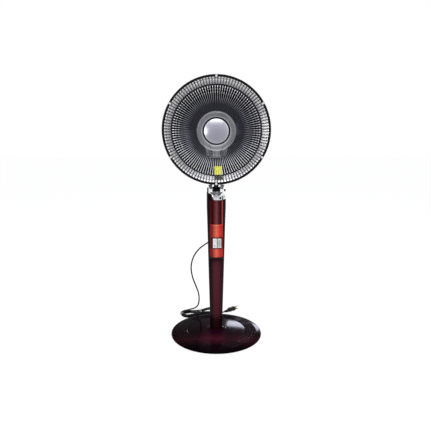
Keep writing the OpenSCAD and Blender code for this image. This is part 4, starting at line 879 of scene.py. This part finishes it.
@dataclass
class MainsCord:
    """The mains cord: a free stretch, a tied hank behind the base and a short tail to the plug."""

    diameter: float = 6.0
    exit_at: Point = (0.0, 65.81, 392.0)
    exit_step: Point = (0.0, 16.0, -1.0)
    free: tuple[Point, ...] = ((-10, 101, 385), (-35, 110, 364), (-68, 116, 338), (-92, 118, 307), (-104, 120, 274),
                               (-107, 123, 241), (-101, 130, 202), (-90, 142, 165), (-80, 158, 130), (-76, 176, 99),
                               (-77, 196, 68), (-82, 215, 43), (-90, 230, 27), (-102, 238, 17))
    run: float = 110.0
    inner_radius: float = 18.0
    pitch: float = 9.0
    drawn_in: float = 13.0
    layers: tuple[float, float] = (4.0, 10.8)
    steps: int = 48
    free_cuts: int = 6
    reverse: float = 2.0
    half_run: float = 1 / 12
    crossing: float = 1 / 6
    aside: float = 1 / 24
    start_turn: float = 2 / 24
    end_turn: float = 85 / 24
    soft: float = 0.12
    lead_in: float = 16.0
    lead_out: float = 12.0
    tail: tuple[Point, ...] = ((0, 204, 4), (20, 208, 5))
    plug_reach: float = 41.0
    plug_steps: Row = (14.0, 6.0, 0.0)

    def flat(self, turn: float) -> Row:
        """Gives a point of the hank in its own frame, where each half turn is half a run, a fold and half a run.

        Args:
            turn: Turns from the hank's start.

        Returns:
            Its X and Y.
        """
        away = math.sqrt((turn - self.reverse) ** 2 + self.soft ** 2) - self.soft
        radius = self.inner_radius + self.pitch * away
        halves = math.floor(2 * (turn + self.half_run))
        part, side = turn - halves / 2, 1 - 2 * (halves % 2)
        if part <= self.half_run:
            x = -self.run / 2 * part / self.half_run
            return side * x, side * (radius - self.drawn_in * math.cos(math.pi * x / self.run) ** 2)
        angle = math.pi * (part - self.half_run) / (0.5 - 2 * self.half_run)
        return -side * (self.run / 2 + radius * math.sin(angle)), side * radius * math.cos(angle)

    def hank_point(self, turn: float) -> Vector:
        """Places a point of the hank.

        Args:
            turn: Turns from the hank's start.

        Returns:
            The point in the heater's frame.
        """
        t = max(0.0, min(1.0, (turn - self.reverse) / self.crossing + 0.5))
        level = self.layers[1] + (self.layers[0] - self.layers[1]) * t * t * (3 - 2 * t)
        return Vector((*HANK_AT, level)) + turned(HANK_TURN, "Z") @ Vector((*self.flat(turn), 0))

    def through(self, points: Sequence[Vector]) -> list[Vector]:
        """Runs a smooth curve through points.

        Args:
            points: The points.

        Returns:
            The curve's points.
        """
        out = []
        for a, b, c, d in zip([points[0], *points], points, points[1:], [*points[2:], points[-1]]):
            out += interpolate_bezier(b, b + (c - a) / 6, c - (d - b) / 6, c, self.free_cuts + 1)[:-1]
        return [*out, points[-1]]

    def route(self) -> list[Vector]:
        """Lays the whole route from the boot to the plug.

        Returns:
            Its points, in metres.
        """
        first, last = round(self.start_turn * self.steps), round(self.end_turn * self.steps)
        wound = [self.hank_point(i / self.steps) for i in range(first, last + 1)]
        inward = (self.hank_point(self.start_turn) - self.hank_point(self.start_turn + self.aside)).normalized()
        outward = (self.hank_point(self.end_turn) - self.hank_point(self.end_turn - self.aside)).normalized()
        start, end = wound[0] + self.diameter * inward, wound[-1] + self.diameter * outward
        out_of = Vector(self.exit_at)
        free = [out_of, out_of + Vector(self.exit_step), *map(Vector, self.free), start + self.lead_in * inward, start]
        run_in = turned(PLUG_TURN, "Z") @ Vector((1, 0, 0))
        tip = Vector(PLUG_AT) - self.plug_reach * run_in
        tail = [end, end + self.lead_out * outward, *map(Vector, self.tail),
                *(tip - step * run_in for step in self.plug_steps)]
        return [point * MM for point in self.through(free) + wound + self.through(tail)]

    def build(self, with_pieces: list[object]) -> None:
        """Args:
            with_pieces: The pieces on the cord, not used.
        """
        route = self.route()
        curve = bpy.data.curves.new("cord_line", "CURVE")
        curve.dimensions = "3D"
        curve.bevel_depth = self.diameter / 2 * MM
        curve.bevel_resolution = 4
        curve.use_fill_caps = True
        spline = curve.splines.new("POLY")
        spline.points.add(len(route) - 1)
        for place, point in zip(spline.points, route):
            place.co = (*point, 1.0)
        cord = bpy.data.objects.new("cord_line", curve)
        bpy.context.scene.collection.objects.link(cord)
        put_on(cord, "mains_cord", "base", "cord_black", CORD_SHEATH, "cord_free", "cord_hank", "cord_tail")


@dataclass
class WireGuard:
    """The domed guard: radial wires over three rings, held by small welded plates."""

    outer_r: float = 194.8
    hub_r: float = 41.0
    ring_h: float = 75.3
    ring_d: float = 4.0
    wire_d: float = 2.2
    wire_gap: float = 0.25
    rise: float = 40.0
    count: int = 108
    stretches: int = 11
    plate_size: Point = (4.6, 14.0, 1.2)
    plate_rounding: float = 0.4
    plate_sink: float = 0.5
    plate_rows: tuple[tuple[float, int, float], ...] = ((189.8, 6, 90.0), (46.0, 3, 30.0))

    def slope(self, r: float) -> float:
        """Gives how steeply the guard falls back at a radius."""
        return 3 * self.rise * r * r / self.outer_r ** 3

    def wire_h(self, r: float) -> float:
        """Gives the wires' forward distance at a radius."""
        ring_h = self.ring_h + self.rise * (1 - (r / self.outer_r) ** 3)
        return ring_h + ((self.ring_d + self.wire_d) / 2 + self.wire_gap) * math.sqrt(1 + self.slope(r) ** 2)

    def line(self) -> list[Vector]:
        """Gives points along one wire, in the head's frame."""
        radii = evenly(self.outer_r, self.hub_r - 1, self.stretches)
        return [turned(180 / self.count, "Z") @ Vector((r, 0, self.wire_h(r))) for r in radii]

    def build(self) -> None:
        """Makes the wires, and the plates in their rows."""
        wires = ring_copies(drawn_tube(self.line(), self.wire_d / 2, sides=1), self.count)
        plates = [self.plate(r, start + 360 * i / count) for r, count, start in self.plate_rows for i in range(count)]
        whole = join([wires, *plates])
        whole.data.transform(HEAD)
        put_on(whole, "guard_wire_set", "head", "clip_steel", WIRE_CHROME, "guard_wires")

    def plate(self, r: float, turn: float) -> Piece:
        """Makes a small plate welded across two wires.

        Args:
            r: Its radius.
            turn: Its angle in degrees.

        Returns:
            The plate, in the head's frame.
        """
        lean = turned(math.degrees(math.atan(self.slope(r))), "Y")
        frame = turned(turn, "Z") @ shift(r, 0, self.wire_h(r) - self.plate_sink) @ lean
        return block(self.plate_size, self.plate_rounding, frame)


@dataclass
class HeatingTube:
    """The keyhole-shaped quartz tube with its wound filament."""

    ring_r: float = 61.0
    tube_d: float = 18.0
    wall: float = 1.5
    opening: float = 45.0
    bend_r: float = 22.0
    slope: float = 17.0
    leg: float = 36.0
    height: float = 49.0
    coil_r: float = 2.1
    coil_wire: float = 0.45
    coil_pitch: float = 2.6
    coil_steps: int = 10

    def line(self) -> list[Row]:
        """Draws the middle line, flat in the head's frame.

        Returns:
            Its points, from one leg's end round to the other's.
        """
        a, b = math.radians(self.opening), math.radians(self.slope)
        bend_x, bend_y = (self.ring_r + self.bend_r) * math.sin(a), -(self.ring_r + self.bend_r) * math.cos(a)
        bend = arc(bend_x, bend_y, self.bend_r, 180 - self.slope, 90 + self.opening, steps=6)
        (top_x, top_y), foot = bend[0], (self.leg * math.sin(b), self.leg * math.cos(b))
        leg = list(zip(evenly(top_x - foot[0], top_x, 4), evenly(top_y - foot[1], top_y, 4)))
        right = leg[:-1] + bend[:-1] + arc(0, 0, self.ring_r, self.opening - 90, 90, steps=32)
        return [(x, y, 0.0) for x, y in right + [(-x, y) for x, y in reversed(right[:-1])]]

    def build(self) -> None:
        """Makes the glass and the coil."""
        place = HEAD @ shift(0, 0, self.height)
        glass = drawn_tube(self.line(), self.tube_d / 2, sides=6, caps=False)
        modify(glass, "SOLIDIFY", thickness=self.wall * MM, offset=-1)
        smooth(glass, TUBE_ANGLE)
        glass.data.transform(place)
        put_on(glass, "quartz_tube", "head", "quartz", QUARTZ, "heating_tube")
        coil = self.coil()
        coil.data.transform(place)
        put_on(coil, "filament_coil", "head", "heater_wire", COIL_WIRE, "filament")

    def coil(self) -> Piece:
        """Winds the filament straight, then bends it along the tube.

        Returns:
            The coil, flat in the head's frame.
        """
        line = self.line()
        length = sum(math.dist(here, there) for here, there in zip(line, line[1:]))
        bpy.ops.mesh.primitive_circle_add(vertices=5, radius=self.coil_wire * MM, location=(self.coil_r * MM, 0, 0),
                                          rotation=(math.pi / 2, 0, 0))
        coil = bpy.context.object
        settle(coil)
        modify(coil, "SCREW", axis="Z", screw_offset=self.coil_pitch * MM,
               iterations=int(length / self.coil_pitch) - 1, steps=self.coil_steps,
               render_steps=self.coil_steps, use_normal_calculate=True)
        coil.data.transform(turned(90, "Y"))
        path = vertex_path(line)
        pick(path)
        bpy.ops.object.convert(target="CURVE")
        modify(coil, "CURVE", object=path, deform_axis="POS_X")
        bpy.data.objects.remove(path)
        smooth(coil, COIL_ANGLE)
        return coil


@dataclass
class BlankTag:
    """The bare yellow tag that hangs behind the guard's lower wires."""

    width: float = 28.0
    inner_r: float = 128.0
    outer_r: float = 161.0
    middle_x: float = 7.0
    sheet: float = 0.4
    gap: float = 0.5
    rows: int = 8
    columns: int = 4

    def build(self, guard: WireGuard) -> None:
        """Makes the tag along the wires.

        Args:
            guard: The guard that it lies behind.
        """
        radii = evenly(self.inner_r, self.outer_r, self.rows)
        behind = guard.wire_d / 2 + self.sheet + self.gap
        tag = vertex_path([(self.middle_x - self.width / 2, -r, guard.wire_h(r) - behind) for r in radii])
        with edit_mode():
            for _ in range(self.columns):
                pull(self.width / self.columns, 0, 0)
        modify(tag, "SOLIDIFY", thickness=self.sheet * MM, offset=-1)
        with edit_mode():
            mend()
        tag.data.transform(HEAD)
        smooth(tag)
        put_on(tag, "blank_tag", "head", "plate", LABEL_YELLOW)


@dataclass
class MouldedPlug:
    """The plug's moulded body with a waist for the fingers and a ribbed neck.

    Each section of the body is a place along it from the cord to the pins, a width, a height and a rise. Each
    rib is a place and a radius.
    """

    sections: tuple[Row, ...] = (
        (-41.0, 7.6, 7.6, 0.0), (-33.0, 9.0, 9.0, 0.0), (-24.0, 12.5, 12.0, 0.0), (-18.0, 17.0, 15.5, 0.4),
        (-14.0, 24.0, 19.5, 1.6), (-8.0, 24.6, 21.0, 2.0), (0.0, 22.4, 19.6, 2.0), (8.0, 25.0, 21.4, 2.0),
        (14.0, 26.6, 21.8, 2.0), (17.0, 26.4, 21.6, 2.0))
    face_inset: float = 1.2
    ribs: tuple[Row, ...] = ((-39.5, 4.9), (-36.0, 5.3), (-32.5, 5.8), (-29.0, 6.4), (-25.5, 7.0))
    rib_root: float = 3.6
    rib_profile: Row = (0.0, 0.4, 1.8, 2.2)

    def build(self) -> Piece:
        """Extrudes the body section by section, rounds it and adds the neck's ribs.

        Returns:
            The plug.
        """
        along, width, height, rise = self.sections[0]
        bpy.ops.mesh.primitive_circle_add(vertices=16, radius=0.5, fill_type="NGON")
        body = bpy.context.object
        body.data.transform(shift(0, rise, along) @ Matrix.Diagonal((width * MM, height * MM, 1, 1)))
        with edit_mode():
            for last, row in zip(self.sections, self.sections[1:]):
                pull(0, row[3] - last[3], row[0] - last[0])
                bpy.ops.transform.resize(value=(row[1] / last[1], row[2] / last[2], 1),
                                         center_override=(0, row[3] * MM, row[0] * MM))
            bpy.ops.mesh.inset(thickness=self.face_inset * MM)
            mend()
        modify(body, "SUBSURF", levels=2, render_levels=2)
        smooth(body, TUBE_ANGLE)
        ribs = [self.rib(place, radius) for place, radius in self.ribs]
        plug = join([body, *ribs])
        plug.data.transform(shift(*PLUG_AT) @ turned(PLUG_TURN + 90, "Z") @ turned(90, "X"))
        return put_on(plug, "plug_body", "base", "cord_black", BLACK_SATIN, "mains_plug")

    def rib(self, place: float, radius: float) -> Piece:
        """Turns one rib of the neck at its place."""
        rows = zip((self.rib_root, radius, radius, self.rib_root), self.rib_profile)
        return lathe([(r, place + step) for r, step in rows], Matrix(), steps=24)


@dataclass
class HankTie:
    """The strap round the hank's waist."""

    reach: float = 17.5
    bottom: float = 0.3
    height: float = 14.2
    width: float = 12.0
    sheet: float = 0.9
    rounding: float = 5.0
    edge: float = 0.25

    def build(self) -> Piece:
        """Bends the strap round the cords.

        Returns:
            The strap.
        """
        across, up = self.reach - self.rounding, self.height / 2 - self.rounding
        middle = self.bottom + self.height / 2
        line = []
        for side_y, side_z, first in ((1, 1, 0), (-1, 1, 90), (-1, -1, 180), (1, -1, 270)):
            line += arc(side_y * across, middle + side_z * up, self.rounding, first, first + 90, steps=4)
        strap = vertex_path([(0, y, z) for y, z in [*line, line[0]]])
        with edit_mode():
            pull(self.width, 0, 0)
            mend()
        modify(strap, "SOLIDIFY", thickness=self.sheet * MM, offset=-1)
        bevel(strap, self.edge, segments=2)
        strap.data.transform(shift(*HANK_AT, 0) @ turned(HANK_TURN, "Z") @ shift(-self.width / 2, 0, 0))
        smooth(strap)
        return put_on(strap, "tie_strap", "base", "tie_black", BLACK_SATIN, "cord_tie")


@dataclass
class BadgeTrim:
    """The bright bead round the bare centre badge."""

    radius: float = 43.2
    height: float = 113.6
    bead: float = 1.0

    def build(self) -> None:
        """Turns the bead."""
        ring = beads([(self.radius, self.height)], HEAD, self.bead, steps=96)
        put_on(ring, "badge_bead", "head", "badge_alu", CLIP_STEEL)


@dataclass
class CordBoot:
    """The strain relief's ribs, from the column out along the cord."""

    at_z: float = 392.0
    first_y: float = 41.5
    last_y: float = 62.5
    root_r: float = 5.6
    tip_r: float = 4.1
    gaps: int = 5
    bead: float = 0.8

    def build(self) -> None:
        """Turns the ribs about the cord's way out."""
        rows = zip(evenly(self.root_r, self.tip_r, self.gaps), evenly(self.first_y, self.last_y, self.gaps))
        ribs = beads(rows, shift(0, 0, self.at_z) @ turned(-90, "X"), self.bead, steps=32)
        put_on(ribs, "boot_ribs", "base", "black_rubber", BLACK_RUBBER)


@dataclass
class RockerMarks:
    """The on and off marks, raised on the rockers' faces."""

    rockers: tuple[tuple[str, float], ...] = (("heat_switch", -5.3), ("swing_switch", 12.3))
    axis_y: float = -30.6
    axis_z: float = 400.0
    tilt: float = 6.0
    face: float = 5.25
    lean: float = 6.8
    mark_z: float = 10.5
    size: float = 4.6
    line: float = 0.4
    rounding: float = 0.15

    def build(self) -> None:
        """Makes a bar above and a ring below on each rocker."""
        for body, x in self.rockers:
            bar = block((2 * self.line, self.size, 2 * self.line), self.rounding, self.place(x, 1), segments=1)
            ring = beads([(self.size / 2, 0.0)], self.place(x, -1), self.line, steps=24)
            put_on(join([bar, ring]), f"{body}_marks", body, "black_matt", BLACK_SATIN)

    def place(self, x: float, side: int) -> Matrix:
        """Places a mark's frame on the upper face of a rocker, for side 1, or the lower one, for side -1."""
        rocker = shift(x, self.axis_y, self.axis_z) @ turned(-self.tilt, "X")
        return rocker @ shift(0, -self.face, side * self.mark_z) @ turned(90 + side * self.lean, "X")


@dataclass
class NeckTrim:
    """The chrome cup's cross-head screw, and a black block beside it that paints the shade inside the slot."""

    cup_r: float = 35.6
    trim_z: float = 579.0
    screw_turn: float = 26.0
    screw_r: float = 4.4
    screw_profile: tuple[Row, ...] = ((0.0, -1.2), (1.0, -1.2), (1.0, 0.3), (0.82, 0.9), (0.0, 1.2))
    cross_bar: Point = (4.84, 0.8, 0.5)
    cross_rounding: float = 0.15
    slot_turn: float = 43.0
    slot_size: Point = (4.0, 15.0, 1.6)
    slot_rounding: float = 0.5

    def build(self) -> None:
        """Turns the screw's head with its cross, and adds a black block as the slot's painted shade."""
        frame = self.place(self.screw_turn)
        head = lathe([(share * self.screw_r, h) for share, h in self.screw_profile], frame, steps=24)
        top = frame @ shift(0, 0, self.screw_profile[-1][1])
        bars = [block(self.cross_bar, self.cross_rounding, top @ turned(turn, "Z"), segments=1)
                for turn in (45, 135)]
        # a black block put where the slot has only shade
        slot_shade = block(self.slot_size, self.slot_rounding, self.place(self.slot_turn))
        put_on(join([head, *bars, slot_shade]), "neck_cap_screws", "swivel", "rim_black", BLACK_GLOSS)

    def place(self, turn: float) -> Matrix:
        """Places a frame on the cup, with Z out of it and Y up, at an angle from the front towards the right."""
        return shift(0, 0, self.trim_z) @ turned(turn, "Z") @ shift(0, -self.cup_r, 0) @ turned(90, "X")


@dataclass
class HolderBeads:
    """The pressed beads across the tube holder's front, and its lower lip, made bright with a painted highlight."""

    plate_h: float = 51.0
    rows: Row = (-62.5, -70.5, -78.5, -86.5)
    bead_size: Point = (30.0, 3.0, 1.4)
    bead_rounding: float = 0.6
    bead_lift: float = 0.5
    lip_y: float = -94.5
    lip_size: Point = (42.0, 6.0, 1.6)
    lip_rounding: float = 0.7
    lip_lift: float = 0.6

    def build(self) -> None:
        """Makes the beads row by row, and the lip below them."""
        rows = [block(self.bead_size, self.bead_rounding, self.place(y, self.bead_lift), segments=3)
                for y in self.rows]
        put_on(join(rows), "holder_beads", "head", "clip_steel", HOLDER)
        lip = block(self.lip_size, self.lip_rounding, self.place(self.lip_y, self.lip_lift), segments=3)
        put_on(lip, "holder_lip", "head", "clip_steel", HOLDER_LIP)

    def place(self, y: float, lift: float) -> Matrix:
        """Places a frame in front of the holder's plate."""
        return HEAD @ shift(0, y, self.plate_h + lift)


@dataclass
class KnobGrip:
    """The raised pointer and face ring of the tilt knob."""

    axis_z: float = 606.0
    face_x: float = -35.3
    ring_r: float = 7.6
    bead: float = 0.6
    pointer_size: Point = (1.4, 3.4, 1.0)
    pointer_rounding: float = 0.3
    pointer_r: float = 5.2

    def build(self) -> None:
        """Turns the face ring and adds the pointer."""
        frame = shift(self.face_x, 0, self.axis_z) @ turned(-90, "Y") @ turned(90, "Z")
        ring = beads([(self.ring_r, 0.0)], frame, self.bead, steps=48)
        pointer = block(self.pointer_size, self.pointer_rounding, frame @ shift(0, self.pointer_r, 0))
        put_on(join([ring, pointer]), "knob_face", "knob", "black_matt", BLACK_SATIN)


def main() -> None:
    """Builds the heater's pieces in order."""
    logging.basicConfig(level=logging.INFO, format="%(message)s")
    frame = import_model()
    Studio().build()
    plug, tie = MouldedPlug().build(), HankTie().build()
    MainsCord().build([plug, tie, "plug_pins"])
    guard = WireGuard()
    guard.build()
    HeatingTube().build()
    BlankTag().build(guard)
    for trim in (BadgeTrim(), CordBoot(), RockerMarks(), NeckTrim(), HolderBeads(), KnobGrip()):
        trim.build()
    finish_of = {name: finish for finish, names in NODES_OF.items() for name in names.split()}
    for name, node in frame["nodes"].items():
        dress(node, finish_of[name])
        LOG.info("dressed %s", name)


if __name__ == "__main__":
    main()
